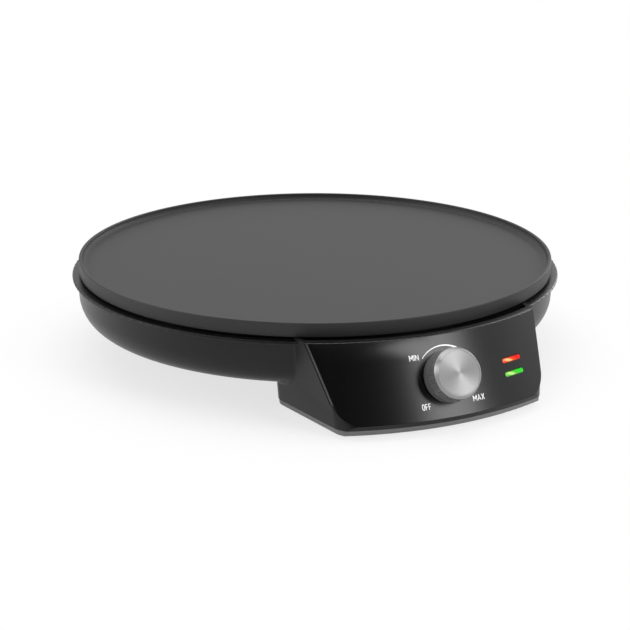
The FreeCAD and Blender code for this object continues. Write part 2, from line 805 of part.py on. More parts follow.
def base_shell():
    """The moulded base: bowl, flange and control housing with their posts, bosses and openings."""
    core = pod_block(pod_wall, panel_thickness + pod_wall, pod_root_z, plate_top_z)
    below = core.common(block(-beyond, beyond, -beyond, 0, pod_root_z, pod_deck_z - pod_wall))
    above = core.common(block(-beyond, beyond, -beyond, 0, pod_deck_z, plate_top_z))
    shell = shell_form().fuse(flange_ring())
    shell = shell.cut([bowl_solid(base_wall, flange_low_z),
                       disc(upstand_radius - upstand_wall, inner_bowl_floor_z, plate_top_z),
                       below.cut(bowl_solid(0, plate_top_z)),
                       above.cut(disc(base_radius, pod_deck_z - 1, plate_top_z + 1))])
    return shell.fuse(shell_additions()).cut(shell_cutters())


def bottom_cover():
    """The housing's floor with its raised edge, cord seat and foot holes."""
    outside = pod_block(cover_inset, cover_inset, pod_floor_z, panel_top_z).common(lower_trim())
    slab = outside.common(block(-beyond, beyond, -beyond, 0, pod_floor_z, cover_split_z))
    under = [e for e in slab.Edges if abs(e.BoundBox.ZMax - pod_floor_z) < 0.05 and e.Length > 1]
    slab = slab.makeFillet(cover_edge_radius, under)
    rim = pod_wall + cover_inset
    core = pod_block(rim, panel_thickness + rim, pod_root_z, panel_top_z)
    slab = slab.cut(core.common(block(-beyond, beyond, -beyond, 0, cover_inner_z, panel_top_z)))
    clamp_xs = (cord_lateral - clamp_post_lateral, cord_lateral + clamp_post_lateral)
    posts = [disc(clamp_post_radius, cover_inner_z - 1, clamp_bar_z, x, clamp_y) for x in clamp_xs]
    seat = block(cord_lateral - clamp_post_lateral, cord_lateral + clamp_post_lateral,
                 clamp_y - clamp_bar_half_width, clamp_y + clamp_bar_half_width,
                 cover_inner_z - 1, cord_z - cord_bore_radius)
    slab = joined([slab] + posts + [seat])
    for x in clamp_xs:
        slab = slab.cut(disc(clamp_screw_radius + thread_fit, cover_inner_z + 2, clamp_bar_z + 1, x, clamp_y))
    for x, y in cover_boss_places:
        slab = slab.cut(disc(small_screw_radius + hole_fit, pod_floor_z - 1, cover_split_z + 2, x, y))
        slab = slab.cut(disc(small_screw_head_radius + hole_fit, pod_floor_z - 1,
                             pod_floor_z + cover_head_recess, x, y))
    for side in (-1, 1):
        slab = slab.cut(disc(foot_stem_radius + 0.1, pod_floor_z - 1, cover_split_z + 2,
                             side * front_foot_lateral, -front_foot_along))
    for x in terminal_screw_xs:
        slab = slab.cut(disc(small_screw_radius + thread_fit, pod_floor_z + 0.8, cover_split_z + 2,
                             x, terminal_y))
    return slab


def cover_screws():
    screws = []
    seat = pod_floor_z + cover_head_recess
    for x, y in cover_boss_places:
        slot = block(x - small_screw_head_radius, x + small_screw_head_radius, y - small_slot / 2,
                     y + small_slot / 2, pod_floor_z - 1, pod_floor_z + small_slot / 4)
        screws.append(small_screw(x, y, seat, cover_screw_length).cut(slot))
    return Part.makeCompound(screws)


def cord_gland():
    """A flanged sleeve in the housing's back wall that the supply cord passes through."""
    inner_end = -pod_back_along - pod_wall - gland_reach
    length = gland_flange + pod_wall + gland_reach
    body = Part.makeCylinder(gland_body_radius, length, V(cord_lateral, inner_end, cord_z), V(0, 1, 0))
    flange = Part.makeCylinder(gland_flange_radius, gland_flange, V(cord_lateral, -pod_back_along, cord_z),
                               V(0, 1, 0))
    bore = Part.makeCylinder(cord_bore_radius, length + 2, V(cord_lateral, inner_end - 1, cord_z), V(0, 1, 0))
    return body.fuse(flange).cut(bore).removeSplitter()


def cord_clamp():
    """A bar across the cord's seat with a sunk hole at each end."""
    half = clamp_post_lateral + clamp_post_radius
    top = clamp_bar_z + clamp_bar
    bar = block(cord_lateral - half, cord_lateral + half, clamp_y - clamp_bar_half_width,
                clamp_y + clamp_bar_half_width, clamp_bar_z, top)
    for side in (-1, 1):
        x = cord_lateral + side * clamp_post_lateral
        bar = bar.cut(disc(clamp_screw_radius + hole_fit, clamp_bar_z - 1, top + 1, x, clamp_y))
        bar = bar.cut(disc(clamp_screw_head_radius + 0.2, top - clamp_bar / 2, top + 1, x, clamp_y))
    return bar


def cord_clamp_screws():
    screws = []
    seat = clamp_bar_z + clamp_bar / 2
    for side in (-1, 1):
        x = cord_lateral + side * clamp_post_lateral
        screws.append(joined([disc(clamp_screw_radius, cover_inner_z + 3, seat, x, clamp_y),
                              disc(clamp_screw_head_radius, seat, seat + clamp_screw_head, x, clamp_y)]))
    return Part.makeCompound(screws)


def terminal_block():
    """A ceramic block with three ways for the conductors and two fixing holes."""
    half = terminal_length / 2
    top = cover_inner_z + terminal_height
    hole_z = cover_inner_z + terminal_hole_height
    body = block(cord_lateral - half, cord_lateral + half, terminal_y - terminal_depth / 2,
                 terminal_y + terminal_depth / 2, cover_inner_z, top)
    for x in terminal_ways:
        start = V(cord_lateral + x, terminal_y - terminal_depth / 2 - 1, hole_z)
        body = body.cut(Part.makeCylinder(terminal_hole_radius, terminal_depth + 2, start, V(0, 1, 0)))
        body = body.cut(disc(terminal_hole_radius + 0.2, hole_z, top + 1, cord_lateral + x,
                             terminal_y + terminal_screw_offset))
    for x in terminal_screw_xs:
        body = body.cut(disc(small_screw_radius + hole_fit, cover_inner_z - 1, top + 1, x, terminal_y))
        body = body.cut(disc(small_screw_head_radius + hole_fit, top - terminal_recess, top + 1, x, terminal_y))
    return body


def terminal_fixing_screws():
    seat = cover_inner_z + terminal_height - terminal_recess
    return Part.makeCompound([joined([disc(small_screw_radius, pod_floor_z + 1.2, seat, x, terminal_y),
                                      disc(small_screw_head_radius, seat, seat + small_screw_head, x, terminal_y)])
                              for x in terminal_screw_xs])


def terminal_screws():
    low = cover_inner_z + terminal_hole_height + 1.1
    return Part.makeCompound([disc(terminal_hole_radius, low, cover_inner_z + terminal_height - 0.5,
                                   cord_lateral + x, terminal_y + terminal_screw_offset)
                              for x in terminal_ways])


def front_rubber_feet():
    feet = []
    for side in (-1, 1):
        x, y = side * front_foot_lateral, -front_foot_along
        pad = disc(foot_radius, 0, pod_floor_z, x, y)
        pad = pad.makeFillet(foot_edge_radius, [e for e in pad.Edges if abs(e.BoundBox.ZMax) < 0.01])
        stem = disc(foot_stem_radius, pod_floor_z, cover_inner_z, x, y)
        barb = disc(foot_stem_radius + foot_barb, cover_inner_z, cover_inner_z + foot_barb_height, x, y)
        feet.append(joined([pad, stem, barb]))
    return Part.makeCompound(feet)


def rear_legs():
    """Two tapered legs under the bowl's back, each with a recess for its screw."""
    legs = []
    for x, y in leg_places:
        leg = revolved([(0, pod_floor_z), (foot_radius + leg_foot_margin, pod_floor_z),
                        (rear_leg_top_radius, bowl_floor_z), (0, bowl_floor_z)])
        leg = leg.cut(disc(leg_recess_radius, pod_floor_z - 1, leg_recess_top))
        leg = leg.cut(disc(small_screw_radius + hole_fit, pod_floor_z, bowl_floor_z + 1))
        leg.translate(V(x, y, 0))
        legs.append(leg)
    return Part.makeCompound(legs)


def leg_screws():
    length = inner_bowl_floor_z + leg_boss_height - 1.0 - leg_recess_top
    return Part.makeCompound([small_screw(x, y, leg_recess_top, length) for x, y in leg_places])


def rear_rubber_feet():
    feet = []
    for x, y in leg_places:
        pad = disc(foot_radius, 0, pod_floor_z, x, y)
        pad = pad.makeFillet(foot_edge_radius, [e for e in pad.Edges if abs(e.BoundBox.ZMax) < 0.01])
        feet.append(joined([pad, disc(leg_recess_radius - 0.1, pod_floor_z, pod_floor_z + 4, x, y)]))
    return Part.makeCompound(feet)


def knob_outer(s):
    """The knob's outer radius at this distance from the panel."""
    return knob_base_radius + (knob_front_radius - knob_base_radius) * (s - knob_gap) / knob_height


def grip_cutters():
    """The grooves round the knob, each along its tapered side."""
    low = V(knob_outer(knob_plain_band) + grip_depth * 0.3, 0, knob_plain_band)
    high = V(knob_outer(knob_front) + grip_depth * 0.3, 0, knob_front)
    cutter = Part.makeCylinder(grip_depth * 1.3, (high - low).Length, low, high - low)
    cutters = []
    for index in range(grip_count):
        copy = cutter.copy()
        copy.rotate(V(0, 0, 0), V(0, 0, 1), index * 360 / grip_count)
        cutters.append(copy)
    return Part.makeCompound(cutters)


def knob_body():
    """A hollow tapered knob with a grooved grip and a hub for the spindle."""
    inner = knob_base_radius - knob_wall
    outside = revolved([(0, knob_gap), (knob_base_radius, knob_gap), (knob_outer(knob_body_top), knob_body_top),
                        (0, knob_body_top)])
    hollow = revolved([(0, knob_gap - 1), (inner, knob_gap - 1), (inner - 0.6, knob_body_top - knob_wall),
                       (0, knob_body_top - knob_wall)])
    hub = disc(knob_hub_radius, bush_reach + 0.5, knob_body_top - knob_wall / 2)
    body = outside.cut(hollow).fuse(hub)
    body = body.cut(disc(spindle_radius + spindle_fit, 0, knob_body_top - 1.0))
    return body.cut(grip_cutters()).removeSplitter()


def knob_bezel():
    """The bevelled ring round the knob's face, with a groove for a pointer."""
    inner = knob_front_radius - bezel_width
    crest = inner + bezel_land
    foot = knob_body_top + bezel_foot
    outer = knob_outer(knob_body_top)
    outline = [(inner, knob_body_top), (outer, knob_body_top), (outer, foot), (crest, knob_front), (inner, knob_front)]
    bezel = revolved(outline)
    slope = math.degrees(math.atan2(knob_front - foot, outer - crest))
    groove = block(-1, 2 * bezel_height, -pointer_width / 2, pointer_width / 2, -pointer_depth, pointer_depth)
    groove.rotate(V(0, 0, 0), V(0, 1, 0), slope)
    groove.translate(V(crest, 0, knob_front))
    groove.rotate(V(0, 0, 0), V(0, 0, 1), pointer_angle)
    return bezel.cut(groove)


def knob_cap():
    radius = knob_front_radius - bezel_width - knob_cap_fit
    face = knob_front - knob_cap_dish
    return disc(radius, knob_body_top, face)


def thermostat_spindle():
    """A shaft with a flat for the knob and a collar behind the bush."""
    rod = disc(spindle_radius, spindle_tip, knob_body_top - 1.3)
    flat = block(-5, 5, spindle_radius - spindle_flat, 5, bush_reach + 0.4, knob_front)
    collar = disc(bush_radius + 0.2, spindle_tip, spindle_tip + 1.0)
    return rod.cut(flat).fuse(collar).removeSplitter()


bush_foot = -panel_boss_depth - bracket_sheet - 1.0
frame_low = bush_foot - frame_sheet
spindle_tip = bush_foot - 1.3
pin_top = spindle_tip - 0.3
leaf_gap = 0.65
leaf_top = pin_top - pin_length - leaf_gap
frame_shift = 12.0
frame_inset = 4.0
stack_lateral = 25.0
leaf_steps = (0.0, 3.4, 5.4, 8.0)
leaf_names = ("adjusting_leaf", "contact_leaf_upper", "contact_leaf_lower", "bimetal_strip")


def knob_clip():
    """A flat spring between the hub's bore and the spindle's flat."""
    low = spindle_radius - spindle_flat + 0.05
    return block(-1.3, 1.3, low, low + 0.5, bush_reach + 1.0, knob_body_top - 1.6)


def thermostat_bush():
    neck = disc(bush_radius, bush_foot, bush_reach)
    foot = disc(bush_radius + 2.6, bush_foot, bush_foot + 1.0)
    return neck.fuse(foot).removeSplitter().cut(disc(spindle_radius + spindle_fit, bush_foot - 1, bush_reach + 1))


def thermostat_nut():
    corner = nut_across / math.sqrt(3)
    points = [V(corner * math.cos(math.radians(60 * i)), corner * math.sin(math.radians(60 * i)), 0)
              for i in range(7)]
    prism = Part.Face(Part.makePolygon(points)).extrude(V(0, 0, nut_thickness))
    return prism.cut(disc(bush_radius + 0.05, -1, nut_thickness + 1))


def thermostat_bracket():
    plate = block(-panel_boss_length / 2, panel_boss_length / 2, -panel_boss_width / 2, panel_boss_width / 2,
                  -panel_boss_depth - bracket_sheet, -panel_boss_depth)
    plate = plate.cut(disc(bush_radius + hole_fit, -20, 0))
    for side in (-1, 1):
        plate = plate.cut(disc(small_screw_radius + hole_fit, -20, 0, side * bracket_screw_lateral, 0))
    return plate


def bracket_screws():
    seat = -panel_boss_depth - bracket_sheet
    return Part.makeCompound([small_screw(side * bracket_screw_lateral, 0, seat, 4.6)
                              for side in (-1, 1)])


def thermostat_frame():
    """The sheet that carries the guide and the leaf stack."""
    plate = block(frame_shift - frame_length / 2, frame_shift + frame_length / 2 - frame_inset, -frame_width / 2,
                  frame_width / 2, frame_low, bush_foot)
    plate = plate.cut(disc(bush_radius + 1.2, frame_low - 1, 0))
    for side in (-1, 1):
        plate = plate.cut(disc(small_screw_head_radius + 0.4, -30, 0, side * bracket_screw_lateral, 0))
    return plate.cut(disc(rivet_radius + rivet_fit, frame_low - 1, 0, stack_lateral, 0))


def pin_guide():
    foot = spindle_tip - 0.6
    body = disc(bush_radius + 2.2, foot - 2.4, frame_low)
    body = body.cut(disc(bush_radius + 0.8, foot, 0))
    return body.cut(disc(pin_radius + spindle_fit, foot - 5, 0))


def push_pin():
    return disc(pin_radius, pin_top - pin_length, pin_top)


def leaf(index):
    """One strip of the stack, with a contact button where two strips meet."""
    top = leaf_top - leaf_steps[index]
    reach = (-8.0, -11.0, -11.0, -14.0)[index]
    strip = block(reach, stack_lateral + 6, -leaf_width / 2, leaf_width / 2, top - leaf_sheet, top)
    strip = strip.cut(disc(rivet_radius + rivet_fit, top - 2, top + 2, stack_lateral, 0))
    gap = leaf_steps[2] - leaf_steps[1] - leaf_sheet
    if index == 1:
        strip = strip.fuse(disc(contact_radius, top - leaf_sheet - gap / 2, top - leaf_sheet, reach + 3, 0))
    if index == 2:
        strip = strip.fuse(disc(contact_radius, top, top + gap / 2, reach + 3, 0))
    return strip.removeSplitter()


def insulator_stack():
    levels = [frame_low]
    for step in leaf_steps:
        levels += [leaf_top - step, leaf_top - step - leaf_sheet]
    levels.append(levels[-1] - 1.8)
    return Part.makeCompound([ring(insulator_radius, rivet_radius + rivet_fit, levels[i + 1], levels[i], stack_lateral, 0)
                              for i in range(0, len(levels), 2)])


def stack_rivet():
    low = leaf_top - leaf_steps[-1] - leaf_sheet - 1.8
    shank = disc(rivet_radius, low, bush_foot, stack_lateral, 0)
    heads = [disc(rivet_head_radius, low - frame_sheet, low, stack_lateral, 0),
             disc(rivet_head_radius, bush_foot, bush_foot + frame_sheet, stack_lateral, 0)]
    return joined([shank] + heads)


def stud_clips():
    """Push-on rings that hold the panel's studs behind the wall."""
    seat = -panel_thickness - pod_wall - 0.15
    return Part.makeCompound([placed(ring(stud_radius + 2.0, stud_radius, seat - 0.6, seat), panel_place(a, z))
                              for a, z in stud_places])


def lens():
    """A bar of clear plastic that fills its window, with a flange behind the panel."""
    foot = -panel_thickness - lens_foot_depth
    body = capsule(lamp_length, lamp_height, foot, lens_proud)
    body = body.makeFillet(lens_edge_radius, [e for e in body.Edges if abs(e.BoundBox.ZMin - lens_proud) < 0.01])
    grow = 2 * lens_flange
    flange = capsule(lamp_length + grow, lamp_height + grow, foot, -panel_thickness - 2 * lens_fit)
    return body.fuse(flange).removeSplitter()


holder_top = -panel_thickness - pod_wall - holder_gap
holder_low = holder_top - holder_depth


def lamp_holder():
    """A two-celled holder behind the lenses."""
    cell = bulb_radius + bulb_clearance
    half = lamp_pitch / 2 + cell + holder_wall
    body = block(-holder_half_length, holder_half_length, -half, half, holder_low, holder_top)
    for side in (-1, 1):
        y = side * lamp_pitch / 2
        body = body.cut(block(-holder_cell_half_length, holder_cell_half_length, y - cell, y + cell,
                              holder_low + holder_wall, holder_top + 1))
        for x in (-lead_lateral, lead_lateral):
            body = body.cut(disc(lead_hole_radius, holder_low - 1, holder_top + 1, x, y))
        body = body.cut(disc(holder_screw_radius + hole_fit, holder_low - 1, holder_top + 1,
                             side * holder_screw_lateral, 0))
    return body


def neon_lamps():
    """Two small glass tubes that lie in the holder's cells."""
    z = holder_low + holder_wall + bulb_radius + hole_fit
    return Part.makeCompound([Part.makeCylinder(bulb_radius, bulb_length, V(-bulb_length / 2, side * lamp_pitch / 2, z),
                                                V(1, 0, 0)) for side in (-1, 1)])


def lamp_resistors():
    """A resistor under each cell, its lead through the holder's floor."""
    pieces = []
    for side in (-1, 1):
        y = side * lamp_pitch / 2
        body = disc(resistor_radius, holder_low - 1 - resistor_length, holder_low - 1, lead_lateral, y)
        lead = disc(lead_hole_radius - 0.25, holder_low - 1, holder_low + holder_wall + hole_fit, lead_lateral, y)
        pieces.append(joined([body, lead]))
    return Part.makeCompound(pieces)


def holder_screws():
    """Two screws that hold the holder against the wall behind the panel."""
    tip = -panel_thickness - 0.8
    screws = []
    for side in (-1, 1):
        x = side * holder_screw_lateral
        screws.append(joined([disc(holder_screw_radius, holder_low, tip, x, 0),
                              disc(holder_screw_radius + 1.0, holder_low - holder_wall, holder_low, x, 0)]))
    return Part.makeCompound(screws)


fuse_z = plate_under_z - fuse_radius - element_fit


def thermal_fuse():
    """A small cartridge that lies against the plate, with a lead at each end."""
    body = Part.makeCylinder(fuse_radius, fuse_length, V(fuse_lateral - fuse_length / 2, -fuse_along, fuse_z),
                             V(1, 0, 0))
    lead_start = fuse_lateral - fuse_length / 2 - fuse_lead_length
    lead = Part.makeCylinder(fuse_lead_radius, fuse_length + 2 * fuse_lead_length,
                             V(lead_start, -fuse_along, fuse_z), V(1, 0, 0))
    return body.fuse(lead).removeSplitter()


def fuse_clip():
    """A strap over the fuse with a flat tab under its screw."""
    inner = fuse_radius + element_fit
    outer = inner + fuse_clip_sheet
    half = fuse_clip_width / 2
    strap = Part.makeCylinder(outer, fuse_clip_width, V(fuse_lateral - half, -fuse_along, fuse_z), V(1, 0, 0))
    strap = strap.cut(Part.makeCylinder(inner, fuse_clip_width + 2, V(fuse_lateral - half - 1, -fuse_along, fuse_z),
                                        V(1, 0, 0)))
    strap = strap.cut(block(fuse_lateral - 2 * half, fuse_lateral + 2 * half, -fuse_along - 2 * outer,
                            -fuse_along + 2 * outer, fuse_z, fuse_z + 2 * outer))
    x, y = fuse_screw_place
    low = boss_low_z - fuse_clip_sheet
    tab = block(x - half, x + half, -fuse_along + inner, y + fuse_boss_radius, low, boss_low_z)
    riser = block(x - half, x + half, -fuse_along + inner, -fuse_along + outer, low, fuse_z)
    clip = joined([strap, tab, riser])
    return clip.cut(disc(small_screw_radius + hole_fit, low - 1, boss_low_z + 1, x, y))


def fuse_screw():
    x, y = fuse_screw_place
    length = plate_under_z - boss_low_z - 2 * blind_depth
    return small_screw(x, y, boss_low_z - fuse_clip_sheet, length)


local_nodes = {
    "knob_body": knob_body, "knob_bezel": knob_bezel, "knob_cap": knob_cap, "knob_clip": knob_clip,
    "thermostat_spindle": thermostat_spindle, "thermostat_bush": thermostat_bush,
    "thermostat_nut": thermostat_nut, "thermostat_bracket": thermostat_bracket,
    "bracket_screws": bracket_screws, "thermostat_frame": thermostat_frame, "pin_guide": pin_guide,
    "push_pin": push_pin, "insulator_stack": insulator_stack, "stack_rivet": stack_rivet}
lamp_nodes = {"lamp_holder": lamp_holder, "neon_lamps": neon_lamps, "lamp_resistors": lamp_resistors,
              "holder_screws": holder_screws}
plain_nodes = {
    "cooking_plate": cooking_plate, "heating_element": heating_element, "terminal_beads": terminal_beads,
    "terminal_pins": terminal_pins, "clamp_ring": clamp_ring, "clamp_screws": clamp_screws,
    "reflector_pan": reflector_pan, "plate_spacers": plate_spacers, "plate_screws": plate_screws,
    "base_shell": base_shell, "front_panel": front_panel, "stud_clips": stud_clips,
    "bottom_cover": bottom_cover, "cover_screws": cover_screws, "cord_gland": cord_gland,
    "cord_clamp": cord_clamp, "cord_clamp_screws": cord_clamp_screws, "terminal_block": terminal_block,
    "terminal_fixing_screws": terminal_fixing_screws, "terminal_screws": terminal_screws,
    "front_rubber_feet": front_rubber_feet, "rear_legs": rear_legs, "leg_screws": leg_screws,
    "rear_rubber_feet": rear_rubber_feet, "thermal_fuse": thermal_fuse, "fuse_clip": fuse_clip,
    "fuse_screw": fuse_screw}


def all_nodes():
    """Every node's shape about the plate's axis."""
    shapes = {name: maker() for name, maker in plain_nodes.items()}
    knob_place = panel_place(0, knob_z)
    for name, maker in local_nodes.items():
        shapes[name] = placed(maker(), knob_place)
    for index, name in enumerate(leaf_names):
        shapes[name] = placed(leaf(index), knob_place)
    for colour, (angle, z) in lamp_places.items():
        shapes[colour + "_lens"] = placed(lens(), panel_place(angle, z))
    for name, maker in lamp_nodes.items():
        shapes[name] = placed(maker(), lamp_mid_place)
    return shapes


def write_all():
    """Move the whole so that the origin is under its middle, and write each node."""
    os.makedirs("parts", exist_ok=True)
    shapes = all_nodes()
    front = min(shape.optimalBoundingBox(False).YMin for shape in shapes.values())
    back = max(shape.optimalBoundingBox(False).YMax for shape in shapes.values())
    shift = -(front + back) / 2
    for name, shape in shapes.items():
        moved = shape.copy()
        moved.translate(V(0, shift, 0))
        moved.exportStep(os.path.join("parts", name + ".step"))
        print(name, len(shape.Solids), shape.isValid(), round(shape.Volume, 1))
    print("plate axis at y =", round(shift, 4), "nodes", len(shapes))
    knob = panel_place(0, knob_z).Base
    print("knob axis through", round(knob.x, 4), round(knob.y + shift, 4), round(knob.z, 4),
          "leaning", round(math.degrees(panel_tilt), 4))


write_all()
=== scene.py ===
import json
import math
import bpy
import numpy as np
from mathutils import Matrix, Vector


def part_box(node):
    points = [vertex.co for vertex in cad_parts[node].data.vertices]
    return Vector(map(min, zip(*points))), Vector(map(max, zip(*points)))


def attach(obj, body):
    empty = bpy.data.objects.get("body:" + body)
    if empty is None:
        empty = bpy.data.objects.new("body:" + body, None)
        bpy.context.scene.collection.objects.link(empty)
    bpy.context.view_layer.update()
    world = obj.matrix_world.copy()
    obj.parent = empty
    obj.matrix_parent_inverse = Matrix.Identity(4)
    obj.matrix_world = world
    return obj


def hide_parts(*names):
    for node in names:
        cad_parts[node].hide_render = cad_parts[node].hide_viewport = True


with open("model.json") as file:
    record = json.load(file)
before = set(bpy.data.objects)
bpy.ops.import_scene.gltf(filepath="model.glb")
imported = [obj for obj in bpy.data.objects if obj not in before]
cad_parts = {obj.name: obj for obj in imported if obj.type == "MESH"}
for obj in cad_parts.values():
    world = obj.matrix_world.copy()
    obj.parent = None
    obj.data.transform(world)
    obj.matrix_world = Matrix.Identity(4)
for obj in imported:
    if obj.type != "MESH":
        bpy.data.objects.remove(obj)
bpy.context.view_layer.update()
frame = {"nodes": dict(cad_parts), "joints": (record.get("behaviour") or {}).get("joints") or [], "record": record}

nodes = frame["nodes"]

# The appliance's main places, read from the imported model, in metres
plateLow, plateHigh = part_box("cooking_plate")
plateAxisY = (plateLow.y + plateHigh.y) / 2
rimTop = plateHigh.z
knobJoint = [j for j in frame["joints"] if j["name"] == "knob_turn"][0]
knobBase = np.array(knobJoint["pos_m"])
knobOut = -np.array(knobJoint["axis"])
knobOut = knobOut / np.linalg.norm(knobOut)
panelTilt = math.asin(knobOut[2])
panelRadiusAtKnob = plateAxisY - knobBase[1]
print("frame read")


# Small tools for meshes

# An object from an array of points and lists of faces.
def newObject(name, points, faces, material):
    mesh = bpy.data.meshes.new(name)
    mesh.from_pydata(np.asarray(points, float).tolist(), [], faces)
    mesh.materials.append(material)
    made = bpy.data.objects.new(name, mesh)
    bpy.context.scene.collection.objects.link(made)
    return made


# An object that rides on a body of the model. uv holds one pair for each corner of each face, in order.
def newPiece(name, points, faces, material, body, uv=None, smooth=True):
    piece = newObject(name, points, faces, material)
    if uv is not None:
        layer = piece.data.uv_layers.new(name="surface")
        layer.data.foreach_set("uv", np.asarray(uv, np.float32).ravel())
    piece.data.polygons.foreach_set("use_smooth", [smooth] * len(piece.data.polygons))
    piece.data.validate()
    piece.data.update()
    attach(piece, body)
    return piece


# Quads of a grid of points, row by row, closed round the columns or the rows where asked.
def gridFaces(rows, columns, closeColumns=True, closeRows=False):
    r, c = np.meshgrid(np.arange(rows if closeRows else rows - 1),
                       np.arange(columns if closeColumns else columns - 1), indexing="ij")
    nextC, nextR = (c + 1) % columns, (r + 1) % rows
    quads = np.stack([r * columns + c, r * columns + nextC,
                      nextR * columns + nextC, nextR * columns + c], axis=-1)
    return quads.reshape(-1, 4)


# The uv of each corner of those quads, from the levels of u along a row and of v from row to row.
def gridUv(across, along):
    u = np.stack([across[:-1], across[1:], across[1:], across[:-1]], axis=-1)
    v = np.stack([along[:-1], along[:-1], along[1:], along[1:]], axis=-1)
    return np.stack(np.broadcast_arrays(u[None], v[:, None]), axis=-1).reshape(-1, 2)


# Triangles that close a grid's first ring with one point, and its last ring, which starts at top, with
# another.
def capFaces(first, last, top, columns):
    k = np.arange(columns)
    after = (k + 1) % columns
    bottom = np.stack([np.full(columns, first), after, k], axis=-1)
    crown = np.stack([top + k, top + after, np.full(columns, last)], axis=-1)
    return np.stack([bottom, crown], axis=1).reshape(-1, 3)


# A profile whose inner corners are replaced by arcs of the given radii.
def roundCorners(corners, radii, steps):
    made = [np.array([corners[0]], float)]
    share = np.linspace(0, 1, steps + 1)[:, None]
    for before, corner, after, radius in zip(corners, corners[1:], corners[2:], radii):
        before, corner, after = (np.array(p, float) for p in (before, corner, after))
        into, away = corner - before, after - corner
        into, away = into / np.linalg.norm(into), away / np.linalg.norm(away)
        turn = math.acos(float(np.clip(into @ away, -1, 1)))
        reach = radius * math.tan(turn / 2)
        start, end = corner - into * reach, corner + away * reach
        bulge = (away - into) / np.linalg.norm(away - into)
        centre = corner + bulge * radius / math.cos(turn / 2)
        chord = start + (end - start) * share - centre
        made.append(centre + chord / np.linalg.norm(chord, axis=1)[:, None] * radius)
    made.append(np.array([corners[-1]], float))
    return np.vstack(made)


# The profile with its long straight runs divided, so that no step is longer than this.
def fineRows(profile, step):
    made = [profile[:1]]
    for a, b in zip(profile, profile[1:]):
        count = max(1, int(math.ceil(np.linalg.norm(b - a) / step)))
        made.append(a + (b - a) * np.arange(1, count + 1)[:, None] / count)
    return np.vstack(made)


# (r cos a, r sin a, s) for each point (r, s) of a profile that starts and ends on the axis.
# Gives points, faces and the uv of each face corner: u round the turn, v along the profile.
def lathe(profile, segments):
    profile = np.asarray(profile, float)
    length = np.concatenate([[0], np.cumsum(np.linalg.norm(np.diff(profile, axis=0), axis=1))])
    angle = np.arange(segments) * 2 * math.pi / segments
    rings = profile[1:-1]
    points = np.stack([rings[:, :1] * np.cos(angle), rings[:, :1] * np.sin(angle),
                       np.repeat(rings[:, 1:], segments, axis=1)], axis=-1).reshape(-1, 3)
    first, last = len(points), len(points) + 1
    points = np.vstack([points, [[0, 0, profile[0, 1]], [0, 0, profile[-1, 1]]]])
    caps = capFaces(first, last, (len(rings) - 1) * segments, segments)
    turn = np.arange(segments + 1) / segments
    low, high, middle = turn[:-1], turn[1:], turn[:-1] + 0.5 / segments
    capU = np.stack([middle, high, low, low, high, middle], axis=-1)
    capV = np.broadcast_to([length[0], length[1], length[1], length[-2], length[-2], length[-1]], capU.shape)
    uv = np.vstack([gridUv(turn, length[1:-1]), np.stack([capU, capV], axis=-1).reshape(-1, 2)])
    return points, gridFaces(len(rings), segments).tolist() + caps.tolist(), uv


# Points given as (across, up the panel, out of the panel) in the knob's frame, put in their place.
def knobPoints(local):
    across = np.array([1.0, 0.0, 0.0])
    return np.asarray(local) @ np.stack([across, np.cross(knobOut, across), knobOut]) + knobBase


# Points on the panel's cone: arc length across and slope length up from the knob's axis, and lift off it.
def panelPoints(across, up, lift):
    z = knobBase[2] + up * math.cos(panelTilt)
    radius = panelRadiusAtKnob - (z - knobBase[2]) * math.tan(panelTilt)
    angle = across / radius
    out = radius + lift * math.cos(panelTilt)
    return np.stack([out * np.sin(angle), plateAxisY - out * np.cos(angle),
                     z + lift * math.sin(panelTilt)], axis=-1)


# The modifier's group: joins points that lie together and marks the edges past an angle as sharp.
def smoothByAngleGroup():
    group = bpy.data.node_groups.new("smoothByAngle", "GeometryNodeTree")
    for label, way, kind in (("Geometry", "INPUT", "Geometry"), ("Angle", "INPUT", "Float"),
                             ("Merge", "INPUT", "Float"), ("Geometry", "OUTPUT", "Geometry")):
        group.interface.new_socket(label, in_out=way, socket_type="NodeSocket" + kind)
    add, link = group.nodes.new, group.links.new
    start, end = add("NodeGroupInput"), add("NodeGroupOutput")
    join = add("GeometryNodeMergeByDistance")
    shade = add("GeometryNodeSetShadeSmooth")
    angle = add("GeometryNodeInputMeshEdgeAngle")
    over = add("FunctionNodeCompare")
    over.data_type = "FLOAT"
    over.operation = "GREATER_THAN"
    store = add("GeometryNodeStoreNamedAttribute")
    store.data_type = "BOOLEAN"
    store.domain = "EDGE"
    store.inputs["Name"].default_value = "sharp_edge"
    link(start.outputs["Geometry"], join.inputs["Geometry"])
    link(start.outputs["Merge"], join.inputs["Distance"])
    link(join.outputs["Geometry"], shade.inputs["Geometry"])
    link(shade.outputs["Geometry"], store.inputs["Geometry"])
    link(angle.outputs["Unsigned Angle"], over.inputs["A"])
    link(start.outputs["Angle"], over.inputs["B"])
    link(over.outputs["Result"], [s for s in store.inputs if s.name == "Value" and s.enabled][0])
    link(store.outputs["Geometry"], end.inputs["Geometry"])
    return group


smoothGroup = smoothByAngleGroup()


# A live modifier that joins the loose triangles and shades across edges flatter than this.
def smoothByAngle(piece, degrees=28.0, merge=2e-6):
    modifier = piece.modifiers.new("smooth by angle", "NODES")
    modifier.node_group = smoothGroup
    sockets = {s.name: s.identifier for s in smoothGroup.interface.items_tree if s.in_out == "INPUT"}
    modifier[sockets["Angle"]] = math.radians(degrees)
    modifier[sockets["Merge"]] = merge


# Small tools for node trees: each gives an output socket, and takes sockets or plain values

def plug(tree, value, socket):
    if isinstance(value, bpy.types.NodeSocket):
        tree.links.new(value, socket)
    else:
        socket.default_value = value


